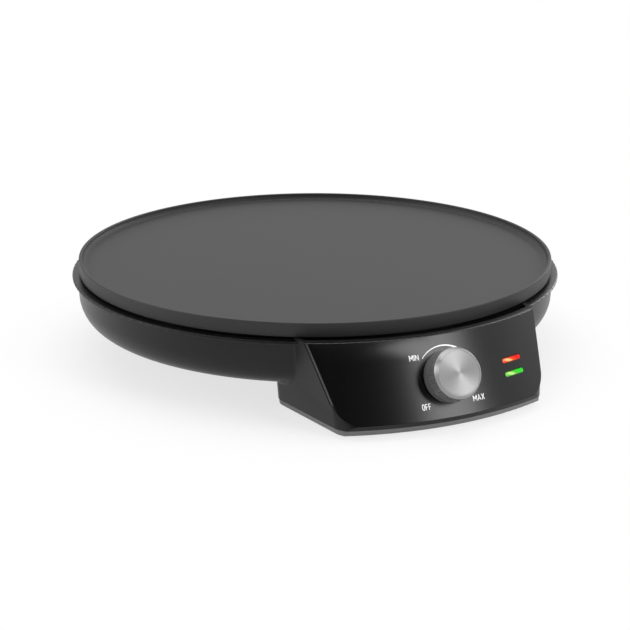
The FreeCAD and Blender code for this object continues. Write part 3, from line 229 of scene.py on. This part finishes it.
def maths(tree, operation, *values):
    node = tree.nodes.new("ShaderNodeMath")
    node.operation = operation
    for value, socket in zip(values, node.inputs):
        plug(tree, value, socket)
    return node.outputs[0]


# A smooth step of the value from one level to another.
def fade(tree, value, fromMin, fromMax, toMin=0.0, toMax=1.0):
    node = tree.nodes.new("ShaderNodeMapRange")
    node.interpolation_type = "SMOOTHSTEP"
    for label, level in (("Value", value), ("From Min", fromMin), ("From Max", fromMax),
                         ("To Min", toMin), ("To Max", toMax)):
        plug(tree, level, node.inputs[label])
    return node.outputs["Result"]


def scaled(tree, colour, factor):
    node = tree.nodes.new("ShaderNodeVectorMath")
    node.operation = "SCALE"
    plug(tree, colour, node.inputs[0])
    plug(tree, factor, node.inputs["Scale"])
    return node.outputs["Vector"]


def noise(tree, where, scale, detail):
    node = tree.nodes.new("ShaderNodeTexNoise")
    node.inputs["Detail"].default_value = detail
    plug(tree, scale, node.inputs["Scale"])
    plug(tree, where, node.inputs["Vector"])
    return node.outputs["Fac"]


# A surface's own UV map, and its two parts.
def surfaceUv(tree):
    where = tree.nodes.new("ShaderNodeUVMap")
    where.uv_map = "surface"
    split = tree.nodes.new("ShaderNodeSeparateXYZ")
    tree.links.new(where.outputs["UV"], split.inputs[0])
    return where.outputs["UV"], split.outputs["X"], split.outputs["Y"]


def flatSpot(tree, x, y):
    node = tree.nodes.new("ShaderNodeCombineXYZ")
    plug(tree, x, node.inputs[0])
    plug(tree, y, node.inputs[1])
    return node.outputs[0]


# Shared effects as node groups

# An empty shader group with named value inputs and outputs.
def newGroup(name, inputs, outputs):
    group = bpy.data.node_groups.new(name, "ShaderNodeTree")
    for label, kind, default in inputs:
        socket = group.interface.new_socket(label, in_out="INPUT", socket_type="NodeSocket" + kind)
        socket.default_value = default
    for label, kind in outputs:
        group.interface.new_socket(label, in_out="OUTPUT", socket_type="NodeSocket" + kind)
    return group, group.nodes.new("NodeGroupInput").outputs, group.nodes.new("NodeGroupOutput").inputs


grainInputs = [("Color", "Color", (0.03, 0.03, 0.03, 1)), ("Tone Spread", "Float", 0.1),
               ("Roughness", "Float", 0.4), ("Roughness Spread", "Float", 0.06)]
grainOutputs = [("Color", "Color"), ("Roughness", "Float"), ("Height", "Float")]


# Colour times (1 + tone spread w) and roughness plus its spread times w, with w the pattern less 0.5.
def wander(tree, start, end, pattern):
    away = maths(tree, "SUBTRACT", pattern, 0.5)
    tone = maths(tree, "MULTIPLY_ADD", away, start["Tone Spread"], 1.0)
    plug(tree, scaled(tree, start["Color"], tone), end["Color"])
    roughness = maths(tree, "MULTIPLY_ADD", away, start["Roughness Spread"], start["Roughness"])
    plug(tree, roughness, end["Roughness"])


# Fine grain of a moulded or sprayed surface: a soft tone, a roughness and a height that wander.
def mouldGrainGroup():
    group, start, end = newGroup("mouldGrain", grainInputs + [("Grain Scale", "Float", 2500.0)], grainOutputs)
    where = group.nodes.new("ShaderNodeTexCoord").outputs["Object"]
    fine = noise(group, where, start["Grain Scale"], 3.0)
    broad = noise(group, where, 22.0, 4.0)
    wander(group, start, end, maths(group, "MULTIPLY_ADD", fine, 0.5, maths(group, "MULTIPLY", broad, 0.5)))
    plug(group, fine, end["Height"])
    return group


# Fine concentric rings of a spun face, read from a UV map whose V runs along the radius.
def turnedRingsGroup():
    group, start, end = newGroup("turnedRings", grainInputs + [("Rings", "Float", 160.0)], grainOutputs)
    _, u, v = surfaceUv(group)
    spot = flatSpot(group, maths(group, "MULTIPLY", u, 2.0), maths(group, "MULTIPLY", v, start["Rings"]))
    rings = noise(group, spot, 1.0, 5.0)
    wander(group, start, end, rings)
    plug(group, rings, end["Height"])
    return group


# The light inside a pilot lens: hot where the lamp lies, in the lens's colour farther off, and dimmer
# towards the long edges. The UV map runs along the lens in U and across it in V, both from -1 to 1.
def lensGlowGroup():
    group, start, end = newGroup(
        "lensGlow",
        [("Hot Color", "Color", (1, 0.8, 0.4, 1)), ("Mid Color", "Color", (1, 0.2, 0, 1)),
         ("Far Color", "Color", (0.5, 0, 0, 1)), ("Hot Place", "Float", -0.4)],
        [("Color", "Color")])
    uv, u, v = surfaceUv(group)
    slanted = maths(group, "MULTIPLY_ADD", v, 0.35, maths(group, "SUBTRACT", u, start["Hot Place"]))
    far = group.nodes.new("ShaderNodeVectorMath")
    far.operation = "LENGTH"
    plug(group, flatSpot(group, slanted, maths(group, "MULTIPLY", v, 0.45)), far.inputs[0])
    ragged = maths(group, "MULTIPLY_ADD", noise(group, uv, 5.0, 3.0), 0.5, far.outputs["Value"])
    colour = start["Hot Color"]
    for label, near, distant in (("Mid Color", 0.38, 0.75), ("Far Color", 0.65, 1.35)):
        mix = group.nodes.new("ShaderNodeMix")
        mix.data_type = "RGBA"
        plug(group, fade(group, ragged, near, distant), mix.inputs["Factor"])
        plug(group, colour, [s for s in mix.inputs if s.name == "A" and s.type == "RGBA"][0])
        plug(group, start[label], [s for s in mix.inputs if s.name == "B" and s.type == "RGBA"][0])
        colour = [s for s in mix.outputs if s.type == "RGBA"][0]
    edge = fade(group, maths(group, "ABSOLUTE", v), 0.55, 1.05, 1.0, 0.25)
    plug(group, scaled(group, colour, edge), end["Color"])
    return group


mouldGrain = mouldGrainGroup()
turnedRings = turnedRingsGroup()
lensGlow = lensGlowGroup()


# A Principled material with a shared effect group placed in it: gives the material, its tree, the
# group's outputs and the Principled inputs.
def newMaterial(name, group, groupValues):
    material = bpy.data.materials.new(name)
    material.use_nodes = True
    effect = material.node_tree.nodes.new("ShaderNodeGroup")
    effect.node_tree = group
    for label, value in groupValues.items():
        effect.inputs[label].default_value = value
    return material, material.node_tree, effect.outputs, material.node_tree.nodes["Principled BSDF"].inputs


# A material whose colour, roughness and bump come from the effect group.
def finishMaterial(name, group, groupValues, bump=0.0, bumpDistance=0.00002, **principled):
    material, tree, effect, shader = newMaterial(name, group, groupValues)
    plug(tree, effect["Color"], shader["Base Color"])
    plug(tree, effect["Roughness"], shader["Roughness"])
    if bump > 0:
        relief = tree.nodes.new("ShaderNodeBump")
        relief.inputs["Strength"].default_value = bump
        relief.inputs["Distance"].default_value = bumpDistance
        plug(tree, effect["Height"], relief.inputs["Height"])
        plug(tree, relief.outputs["Normal"], shader["Normal"])
    for label, value in principled.items():
        shader[label.replace("_", " ")].default_value = value
    return material


def grey(level):
    return (level, level, level * 1.01, 1.0)


# Slot: colour, tone spread, roughness and its spread, grains a metre, bump, specular level, metallic
finishes = {
    "nonstick_coating": (grey(0.035), 0.16, 0.52, 0.05, 2600.0, 0.30, 0.28, 0.0),
    "black_plastic": (grey(0.006), 0.12, 0.34, 0.06, 1800.0, 0.12, 0.30, 0.0),
    # cover_plastic's light grey is partly painted reflection: it stands in for the white floor that the cover's
    # lower edge reflects.
    "cover_plastic": (grey(0.17), 0.12, 0.45, 0.06, 1600.0, 0.15, 0.40, 0.0),
    "gloss_panel": (grey(0.0020), 0.05, 0.25, 0.02, 300.0, 0.0, 0.55, 0.0),
    "knob_plastic": (grey(0.45), 0.10, 0.33, 0.06, 2000.0, 0.10, 0.5, 0.85),
    "knob_metal": (grey(0.52), 0.06, 0.34, 0.05, 2400.0, 0.05, 0.5, 1.0),
    "brushed_metal": (grey(0.60), 0.06, 0.34, 0.05, 2400.0, 0.05, 0.5, 1.0),
    "element_sheath": ((0.16, 0.14, 0.12, 1), 0.5, 0.48, 0.2, 300.0, 0.1, 0.5, 1.0),
    "zinced_sheet": (grey(0.50), 0.25, 0.36, 0.2, 160.0, 0.03, 0.5, 1.0),
    "steel": (grey(0.46), 0.2, 0.33, 0.1, 900.0, 0.05, 0.5, 1.0),
    "brass": ((0.62, 0.44, 0.18, 1), 0.15, 0.30, 0.1, 900.0, 0.05, 0.5, 1.0),
    "spring_brass": ((0.60, 0.38, 0.20, 1), 0.2, 0.34, 0.1, 700.0, 0.05, 0.5, 1.0),
    "ceramic": ((0.72, 0.70, 0.64, 1), 0.12, 0.55, 0.08, 900.0, 0.1, 0.4, 0.0),
    "black_rubber": (grey(0.014), 0.2, 0.75, 0.1, 1400.0, 0.25, 0.3, 0.0),
    "red_lens": ((0.75, 0.03, 0.01, 1), 0.1, 0.12, 0.02, 300.0, 0.0, 0.5, 0.0),
    "green_lens": ((0.03, 0.6, 0.03, 1), 0.1, 0.12, 0.02, 300.0, 0.0, 0.5, 0.0),
    "lamp_glass": ((0.85, 0.7, 0.55, 1), 0.05, 0.08, 0.02, 200.0, 0.0, 0.5, 0.0),
}


# Every CAD node gets the finish of its material slot and smooth shading on its curved faces.
def dressNodes():
    slots = {p["node"]: p["material_slot"] for p in frame["record"]["subparts"]}
    made = {}
    for slot in sorted(set(slots.values())):
        colour, tone, roughness, spread, grains, bump, specular, metallic = finishes[slot]
        made[slot] = finishMaterial(
            slot, mouldGrain,
            {"Color": colour, "Tone Spread": tone, "Roughness": roughness, "Roughness Spread": spread,
             "Grain Scale": grains},
            bump=bump, Specular_IOR_Level=specular, Metallic=metallic)
    for name, piece in nodes.items():
        piece.data.materials.clear()
        piece.data.materials.append(made[slots[name]])
        smoothByAngle(piece)
    return made


slotMaterials = dressNodes()
print("nodes dressed")


# The cooking plate, turned as one smooth surface

plate = {
    "recess": 0.004,
    "rimWidth": 0.0022,
    "rimFoot": 0.003,
    "rimEdge": 0.0007,
    "skirtDepth": 0.0082,
    "skirtWall": 0.003,
    "skirtRoot": 0.0005,     # rounding where the skirt leaves the underside
    "skirtInside": 0.0003,   # roundings of the skirt's lower edge
    "skirtOutside": 0.0004,
    "thickness": 0.004,
    "segments": 360,
    "arcSteps": 7,
    "longestStep": 0.012,
    "sharpFrom": 35.0,
}


# The plate's section turned about its axis: (r cos a, r sin a, z).
def buildPlate():
    radius, top = (plateHigh.x - plateLow.x) / 2, rimTop
    floor = top - plate["recess"]
    under = floor - plate["thickness"]
    inner, skirt = radius - plate["rimWidth"], radius - plate["skirtWall"]
    low = top - plate["skirtDepth"]
    corners = [(0, under), (skirt, under), (skirt, low), (radius, low), (radius, top),
               (inner, top), (inner, floor), (0, floor)]
    radii = [plate["skirtRoot"], plate["skirtInside"], plate["skirtOutside"],
             plate["rimEdge"], plate["rimEdge"], plate["rimFoot"]]
    profile = roundCorners(corners, radii, plate["arcSteps"])
    points, faces, uv = lathe(fineRows(profile, plate["longestStep"]), plate["segments"])
    points[:, 1] += plateAxisY
    made = newPiece("cookingPlate", points, faces, slotMaterials["nonstick_coating"], "base", uv=uv)
    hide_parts("cooking_plate")
    smoothByAngle(made, degrees=plate["sharpFrom"])


buildPlate()
print("plate built")


# The knob's ring and disc

knob = {
    "gap": 0.0004,
    "height": 0.014,
    "baseRadius": 0.0151,
    "frontRadius": 0.0143,
    "ringWidth": 0.0017,
    "ringHeight": 0.0026,
    "ringFoot": 0.0003,
    "ringLand": 0.00025,
    "ringRoundings": [0.00005, 0.00012, 0.0001, 0.00005],
    "discFit": 0.00008,
    "discSink": 0.00015,
    "discLift": 0.00005,     # clearance under the disc
    "discBevel": 0.00015,
    "discDish": 0.00012,
    "discRows": 26,
    "pointerAngle": 142.0,
    "pointerWidth": 0.0007,
    "pointerDepth": 0.0003,
    "segments": 288,
    "ringsPerMetre": 9000.0,
}
knobFront = knob["gap"] + knob["height"]
knobRingLow = knobFront - knob["ringHeight"]
knobRingInner = knob["frontRadius"] - knob["ringWidth"]


# A spun metal: its highlight is drawn out across the fine rings that run round it.
def spunMetal(name, colour, roughness, anisotropy):
    material = finishMaterial(
        name, turnedRings,
        {"Color": colour, "Tone Spread": 0.16, "Roughness": roughness, "Roughness Spread": 0.08,
         "Rings": knob["ringsPerMetre"]},
        bump=0.12, bumpDistance=0.00001, Metallic=1.0, Anisotropic=anisotropy, Anisotropic_Rotation=0.25)
    tree = material.node_tree
    tangent = tree.nodes.new("ShaderNodeTangent")
    tangent.direction_type = "UV_MAP"
    tangent.uv_map = "surface"
    plug(tree, tangent.outputs["Tangent"], tree.nodes["Principled BSDF"].inputs["Tangent"])
    return material


# A disc whose face is very slightly dished: (r cos a, r sin a, face - dish (1 - (r / radius)^2)).
def buildKnobDisc():
    radius = knobRingInner - knob["discFit"]
    face = knobFront - knob["discSink"]
    low = knobRingLow + knob["discLift"]
    rows = np.linspace(radius - knob["discBevel"], 0.0, knob["discRows"])
    dished = np.stack([rows, face - knob["discDish"] * (1 - (rows / radius) ** 2)], axis=-1)
    profile = np.vstack([[(0, low), (radius, low), (radius, face - knob["discBevel"])], dished])
    points, faces, uv = lathe(profile, knob["segments"])
    material = spunMetal("spun disc", grey(0.24), 0.40, 0.95)
    made = newPiece("knobDisc", knobPoints(points), faces, material, "knob", uv=uv)
    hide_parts("knob_cap")
    smoothByAngle(made, degrees=40.0)


# The bevelled ring round the disc: a closed section turned about the knob's axis. At the pointer its bevel
# sinks by depth exp(-(d / (0.45 width))^4), with d the distance round the ring from the pointer.
def buildKnobRing():
    inner, front, low = knobRingInner, knobFront, knobRingLow
    taper = (knob["frontRadius"] - knob["baseRadius"]) / knob["height"]
    outer = knob["baseRadius"] + taper * (low - knob["gap"])
    foot, crest = low + knob["ringFoot"], inner + knob["ringLand"]
    corners = [(inner, low), (outer, low), (outer, foot), (crest, front), (inner, front), (inner, low)]
    section = roundCorners(corners, knob["ringRoundings"], 5)[:-1]
    count, segments = len(section), knob["segments"] * 2
    angle = np.arange(segments) * 2 * math.pi / segments
    away = (angle - math.radians(knob["pointerAngle"]) + math.pi) % (2 * math.pi) - math.pi
    notch = np.exp(-(away * knob["frontRadius"] / (knob["pointerWidth"] * 0.45)) ** 4) * knob["pointerDepth"]
    sink = np.array([front - foot, outer - crest])
    sink = sink / np.linalg.norm(sink)
    onBevel = (section[:, 0] > inner + 0.00001) & (section[:, 1] > foot - 0.0001)
    r = section[:, :1] - np.outer(onBevel, notch) * sink[0]
    z = section[:, 1:] - np.outer(onBevel, notch) * sink[1]
    points = np.stack([r * np.cos(angle), r * np.sin(angle), z], axis=-1).reshape(-1, 3)
    uv = gridUv(np.arange(segments + 1) / segments, np.arange(count + 1) / count * 0.006)
    faces = gridFaces(count, segments, closeRows=True).tolist()
    material = spunMetal("turned ring", grey(0.30), 0.34, 0.4)
    made = newPiece("knobRing", knobPoints(points), faces, material, "knob", uv=uv)
    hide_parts("knob_bezel")
    smoothByAngle(made, degrees=35.0)


buildKnobDisc()
buildKnobRing()
print("knob built")


# Pilot lenses

lens = {
    "length": 0.0142,
    "height": 0.0028,
    "proud": 0.00035,
    "depth": 0.0016,
    "around": 96,
    "rows": 9,
    "innermost": 0.08,       # share of the outline where the last ring lies
    "hotPlace": -0.45,       # where the lamp stands behind the lens, from -1 to 1
    "red": ((1.0, 0.66, 0.26, 1), (0.92, 0.07, 0.005, 1), (0.80, 0.004, 0.002, 1)),
    "green": ((0.66, 1.0, 0.30, 1), (0.12, 0.50, 0.05, 1), (0.01, 0.70, 0.01, 1)),
    "unlit": 0.15,           # share of the far colour that the lens itself has
}


# The middle of a lens's face and its local axes: across, up the panel and out of it.
def lensFrame(node):
    low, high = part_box(node)
    middle = (np.array(low) + np.array(high)) / 2
    turn = math.atan2(middle[0], plateAxisY - middle[1])
    across = np.array([math.cos(turn), math.sin(turn), 0])
    out = np.array([math.sin(turn) * math.cos(panelTilt), -math.cos(turn) * math.cos(panelTilt),
                    math.sin(panelTilt)])
    coneRadius = panelRadiusAtKnob - (middle[2] - knobBase[2]) * math.tan(panelTilt)
    lift = (coneRadius - math.hypot(middle[0], middle[1] - plateAxisY)) * math.cos(panelTilt)
    return middle + out * lift, across, np.cross(out, across), out


def glowMaterial(name, hot, mid, far):
    material, tree, effect, shader = newMaterial(
        name, lensGlow, {"Hot Color": hot, "Mid Color": mid, "Far Color": far, "Hot Place": lens["hotPlace"]})
    shader["Base Color"].default_value = [c * lens["unlit"] for c in far[:3]] + [1]
    plug(tree, effect["Color"], shader["Emission Color"])
    shader["Emission Strength"].default_value = 1.0
    shader["Roughness"].default_value = 0.14
    shader["Specular IOR Level"].default_value = 0.25
    return material


# A closed bar with round ends and a softly domed face: its outline is (h cos a, h sin a), moved by the
# straight half length to the side of a, scaled by t from 1 inwards, and lifted by proud (1 - t^8).
def buildLens(name, node, material):
    centre, across, up, out = lensFrame(node)
    half, straight, around = lens["height"] / 2, (lens["length"] - lens["height"]) / 2, lens["around"]
    angle = (np.arange(around) + 0.5) * 2 * math.pi / around
    outlineX = half * np.cos(angle) + straight * np.sign(np.cos(angle))
    outlineY = half * np.sin(angle)
    face = np.linspace(1.0, lens["innermost"], lens["rows"])
    grow = np.concatenate([[1.0], face])
    lift = np.concatenate([[-lens["depth"]], lens["proud"] * (1 - face ** 8)])
    x, y = np.outer(grow, outlineX).ravel(), np.outer(grow, outlineY).ravel()
    points = np.vstack([np.stack([x, y, np.repeat(lift, around)], axis=-1),
                        [[0, 0, -lens["depth"]], [0, 0, lens["proud"]]]])
    base, crown, top = len(points) - 2, len(points) - 1, (len(grow) - 1) * around
    quads, caps = gridFaces(len(grow), around), capFaces(base, crown, top, around)
    uvPoint = points[:, :2] / [half + straight, half]
    uv = np.vstack([uvPoint[quads.ravel()], uvPoint[caps.ravel()]])
    placed = centre + points @ np.stack([across, up, out])
    made = newPiece(name, placed, quads.tolist() + caps.tolist(), material, "base", uv=uv)
    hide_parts(node)
    smoothByAngle(made, degrees=50.0)


buildLens("redLens", "red_lens", glowMaterial("redLens", *lens["red"]))
buildLens("greenLens", "green_lens", glowMaterial("greenLens", *lens["green"]))
print("lenses built")


# Printed marks: plain words beside the dial, and its arc

marks = {
    "height": 0.0031,
    "stroke": 0.00036,
    "ink": 0.00004,
    "sunk": 0.00002,         # how far the print reaches into the panel
    "letterGap": 0.24,       # in letter heights before a word is stretched to its width
    "ringPoints": 40,
    "arcRadius": 0.0177,
    "arcFrom": 138.0,
    "arcTo": 40.0,
    "arcThin": 0.00035,
    "arcThick": 0.0010,
    "arcPoints": 60,
    "longestMitre": 2.2,
    "words": [               # each with its left end, its foot and its width on the panel
        ("MIN", -0.0205, 0.0113, 0.0053),
        ("OFF", -0.0190, -0.0164, 0.0050),
        ("MAX", 0.0130, -0.0161, 0.0073),
    ],
}
# Each letter's width and strokes on a field one unit high, as runs of (across, up) points
letters = {
    "M": (0.62, [[(0, 0), (0, 1)], [(0, 1), (0.31, 0.3)], [(0.31, 0.3), (0.62, 1)], [(0.62, 1), (0.62, 0)]]),
    "I": (0.0, [[(0, 0), (0, 1)]]),
    "N": (0.54, [[(0, 0), (0, 1)], [(0, 1), (0.54, 0)], [(0.54, 0), (0.54, 1)]]),
    "F": (0.36, [[(0.36, 1), (0, 1), (0, 0)], [(0, 0.52), (0.32, 0.52)]]),
    "A": (0.50, [[(0, 0), (0.25, 1), (0.50, 0)], [(0.09, 0.32), (0.41, 0.32)]]),
    "X": (0.46, [[(0, 0), (0.46, 1)], [(0, 1), (0.46, 0)]]),
    "O": (0.42, "ring"),
}


# The rows half a width to the left and right of a path, mitred at its corners.
def offsetBoth(path, widths, closed=False):
    if closed:
        before, after = np.roll(path, 1, axis=0), np.roll(path, -1, axis=0)
    else:
        before = np.vstack([2 * path[0] - path[1], path[:-1]])
        after = np.vstack([path[1:], 2 * path[-1] - path[-2]])
    into, away = path - before, after - path
    into = into / np.linalg.norm(into, axis=1)[:, None]
    away = away / np.linalg.norm(away, axis=1)[:, None]
    normal = np.stack([-(into + away)[:, 1], (into + away)[:, 0]], axis=-1)
    normal = normal / np.linalg.norm(normal, axis=1)[:, None]
    side = np.stack([-into[:, 1], into[:, 0]], axis=-1)
    mitre = np.clip(1 / np.maximum((normal * side).sum(axis=1), 0.2), 1, marks["longestMitre"])
    half = (np.broadcast_to(widths, len(path)) / 2 * mitre)[:, None] * normal
    return path + half, path - half


# A thin closed slab along a path of (across, up) points: four rows, two in the panel and two on the
# ink's top.
def inkStrip(path, widths, closed=False):
    left, right = offsetBoth(path, widths, closed)
    count = len(path)
    flat = np.vstack([right, left, left, right])
    lift = np.repeat([-marks["sunk"], -marks["sunk"], marks["ink"], marks["ink"]], count)
    faces = gridFaces(4, count, closeColumns=closed, closeRows=True)
    if not closed:
        ends = np.arange(4) * count
        faces = np.vstack([faces, [ends[::-1], ends + count - 1]])
    return panelPoints(flat[:, 0], flat[:, 1], lift), faces


# The strips of one word, stretched to its width.
def wordStrips(word, left, low, wide):
    height, gap = marks["height"], marks["letterGap"]
    total = sum(letters[c][0] for c in word) + gap * (len(word) - 1)
    size = np.array([wide / total, height])
    at = 0.0
    strips = []
    for width, strokes in (letters[c] for c in word):
        corner = [left + at * size[0], low]
        if strokes == "ring":
            turn = np.arange(marks["ringPoints"]) * 2 * math.pi / marks["ringPoints"]
            circle = np.stack([np.cos(turn), np.sin(turn)], axis=-1)
            oval = (1 + np.sign(circle) * np.abs(circle) ** 0.8) * [width / 2, 0.5]
            strips.append(inkStrip(oval * size + corner, marks["stroke"], closed=True))
        else:
            paths = [np.array(stroke, float) * size + corner for stroke in strokes]
            strips += [inkStrip(path, marks["stroke"]) for path in paths]
        at += width + gap
    return strips


# Every stroke of the words and the dial's arc, swept along its path over the panel. The ink glows faintly white:
# painted light that lifts the knob's shadow off the print.
def buildMarks():
    material = finishMaterial(
        "white print with painted glow", mouldGrain,
        {"Color": (0.80, 0.80, 0.80, 1), "Tone Spread": 0.06, "Roughness": 0.5, "Roughness Spread": 0.05,
         "Grain Scale": 3000.0},
        Emission_Color=(1, 1, 1, 1), Emission_Strength=0.55)
    strips = [strip for word in marks["words"] for strip in wordStrips(*word)]
    turn = np.radians(np.linspace(marks["arcFrom"], marks["arcTo"], marks["arcPoints"]))
    arc = marks["arcRadius"] * np.stack([np.cos(turn), np.sin(turn)], axis=-1)
    strips.append(inkStrip(arc, np.linspace(marks["arcThin"], marks["arcThick"], marks["arcPoints"])))
    starts = np.cumsum([0] + [len(points) for points, _ in strips])
    faces = [face for (_, quads), start in zip(strips, starts) for face in (quads + start).tolist()]
    newPiece("dialMarks", np.vstack([points for points, _ in strips]), faces, material, "base", smooth=False)


buildMarks()
print("marks built")


# Camera at the photograph's place

camera = {
    "fromAxis": (-0.4096, -0.8704),   # across and along, from the plate's axis
    "aboveRim": 0.2731,
    "pitchDown": 18.28,
    "turn": 25.2,
    "lens": 89.06,
}


def placeCamera():
    data = bpy.data.cameras.new("camera")
    data.sensor_width = 36.0
    data.sensor_fit = "HORIZONTAL"
    data.lens = camera["lens"]
    data.clip_end = 50.0
    eye = bpy.data.objects.new("camera", data)
    bpy.context.scene.collection.objects.link(eye)
    eye.location = (camera["fromAxis"][0], plateAxisY + camera["fromAxis"][1], rimTop + camera["aboveRim"])
    pitch, turn = math.radians(camera["pitchDown"]), math.radians(camera["turn"])
    ahead = Vector((math.sin(turn) * math.cos(pitch), math.cos(turn) * math.cos(pitch), -math.sin(pitch)))
    eye.rotation_euler = ahead.to_track_quat("-Z", "Y").to_euler()
    bpy.context.scene.camera = eye


placeCamera()
print("camera placed")


# Floor, world and lamps

studio = {
    "floorReach": 6.0,
    "floorTone": 0.92,
    "floorLift": 0.72,       # share of plain white that the camera sees on the floor beside the object
    "floorNear": 0.13,       # from here to floorFar that share grows to the whole
    "floorFar": 0.24,
    "worldLevel": 0.92,
    "cardTurn": -12.0,       # the dark card before the object: degrees right of its front, and up
    "cardRise": 30.0,
    "cardInner": 24.0,
    "cardOuter": 78.0,
    "cardLevel": 0.04,
    "topPower": 9.0,
    "sidePower": 5.0,
    "bandTurn": 31.0,
    "bandRise": 30.0,
    "bandAway": 1.2,
    "bandWidth": 0.44,
    "bandHeight": 0.95,
    "bandPower": 7.0,
}


# The direction this many degrees right of the object's front and above the floor.
def towards(turn, rise):
    turn, rise = math.radians(turn), math.radians(rise)
    return np.array([math.sin(turn) * math.cos(rise), -math.cos(turn) * math.cos(rise), math.sin(rise)])


# An output that mixes two shaders by a factor.
def mixInto(tree, factor, first, second, outputKind):
    mix, out = tree.nodes.new("ShaderNodeMixShader"), tree.nodes.new(outputKind)
    for value, socket in zip((factor, first.outputs[0], second.outputs[0]), mix.inputs):
        plug(tree, value, socket)
    plug(tree, mix.outputs[0], out.inputs["Surface"])


# A pale disc whose rings widen with the square of their number: (r cos a, r sin a, 0). For the camera and
# in reflections it turns into the plain white background away from the object.
def buildFloor():
    material = bpy.data.materials.new("floor")
    material.use_nodes = True
    tree = material.node_tree
    tree.nodes.clear()
    matt, light = tree.nodes.new("ShaderNodeBsdfDiffuse"), tree.nodes.new("ShaderNodeEmission")
    matt.inputs["Color"].default_value = (studio["floorTone"],) * 3 + (1,)
    light.inputs["Strength"].default_value = 1.0
    length = tree.nodes.new("ShaderNodeVectorMath")
    length.operation = "LENGTH"
    plug(tree, tree.nodes.new("ShaderNodeTexCoord").outputs["Object"], length.inputs[0])
    white = fade(tree, length.outputs["Value"], studio["floorNear"], studio["floorFar"], studio["floorLift"])
    path = tree.nodes.new("ShaderNodeLightPath").outputs
    seen = maths(tree, "MAXIMUM", path["Is Camera Ray"], path["Is Glossy Ray"])
    seen = maths(tree, "MAXIMUM", seen, path["Is Transmission Ray"])
    mixInto(tree, maths(tree, "MULTIPLY", white, seen), matt, light, "ShaderNodeOutputMaterial")
    rings, spokes = 40, 96
    radius = studio["floorReach"] * (np.arange(1, rings + 1) / rings) ** 2
    angle = np.arange(spokes) * 2 * math.pi / spokes
    x, y = np.outer(radius, np.cos(angle)).ravel(), np.outer(radius, np.sin(angle)).ravel()
    points = np.vstack([np.stack([x, y, np.zeros_like(x)], axis=-1), [[0, 0, 0]]])
    faces = gridFaces(rings, spokes).tolist() + [[len(x), i, (i + 1) % spokes] for i in range(spokes)]
    newObject("floor", points, faces, material)


# An even white surround with a soft dark card before the object. The card shows in the light and in
# reflections, and the camera sees plain white.
def buildWorld():
    world = bpy.data.worlds.new("studio")
    bpy.context.scene.world = world
    world.use_nodes = True
    tree = world.node_tree
    tree.nodes.clear()
    lit, back = tree.nodes.new("ShaderNodeBackground"), tree.nodes.new("ShaderNodeBackground")
    dot = tree.nodes.new("ShaderNodeVectorMath")
    dot.operation = "DOT_PRODUCT"
    dot.inputs[1].default_value = towards(studio["cardTurn"], studio["cardRise"]).tolist()
    plug(tree, tree.nodes.new("ShaderNodeTexCoord").outputs["Generated"], dot.inputs[0])
    card = fade(tree, dot.outputs["Value"], math.cos(math.radians(studio["cardOuter"])),
                math.cos(math.radians(studio["cardInner"])), studio["worldLevel"], studio["cardLevel"])
    plug(tree, card, lit.inputs["Strength"])
    back.inputs["Strength"].default_value = 1.0
    for shader in (lit, back):
        shader.inputs["Color"].default_value = (1, 1, 1, 1)
    path = tree.nodes.new("ShaderNodeLightPath").outputs
    mixInto(tree, path["Is Camera Ray"], lit, back, "ShaderNodeOutputWorld")


# A rectangular soft lamp that faces a point.
def softLamp(name, place, aim, width, height, power):
    data = bpy.data.lights.new(name, "AREA")
    data.shape = "RECTANGLE"
    data.size, data.size_y, data.energy = width, height, power
    lamp = bpy.data.objects.new(name, data)
    bpy.context.scene.collection.objects.link(lamp)
    lamp.location = place
    lamp.rotation_euler = (Vector(aim) - Vector(place)).to_track_quat("-Z", "Y").to_euler()


def buildLamps():
    target = (0.0, plateAxisY, 0.03)
    softLamp("top", (0.1, 0.5, 1.5), target, 1.6, 1.2, studio["topPower"])
    softLamp("left side", (-1.3, 0.3, 0.5), target, 0.5, 0.9, studio["sidePower"])
    softLamp("right side", (1.3, 0.5, 0.5), target, 0.5, 0.9, studio["sidePower"])
    aim = np.array([0, knobBase[1], 0.03])
    band = aim + towards(studio["bandTurn"], studio["bandRise"]) * studio["bandAway"]
    softLamp("panel band", band, aim, studio["bandWidth"], studio["bandHeight"], studio["bandPower"])


buildFloor()
buildWorld()
buildLamps()
print("studio built")

bpy.context.scene.view_settings.view_transform = "Standard"
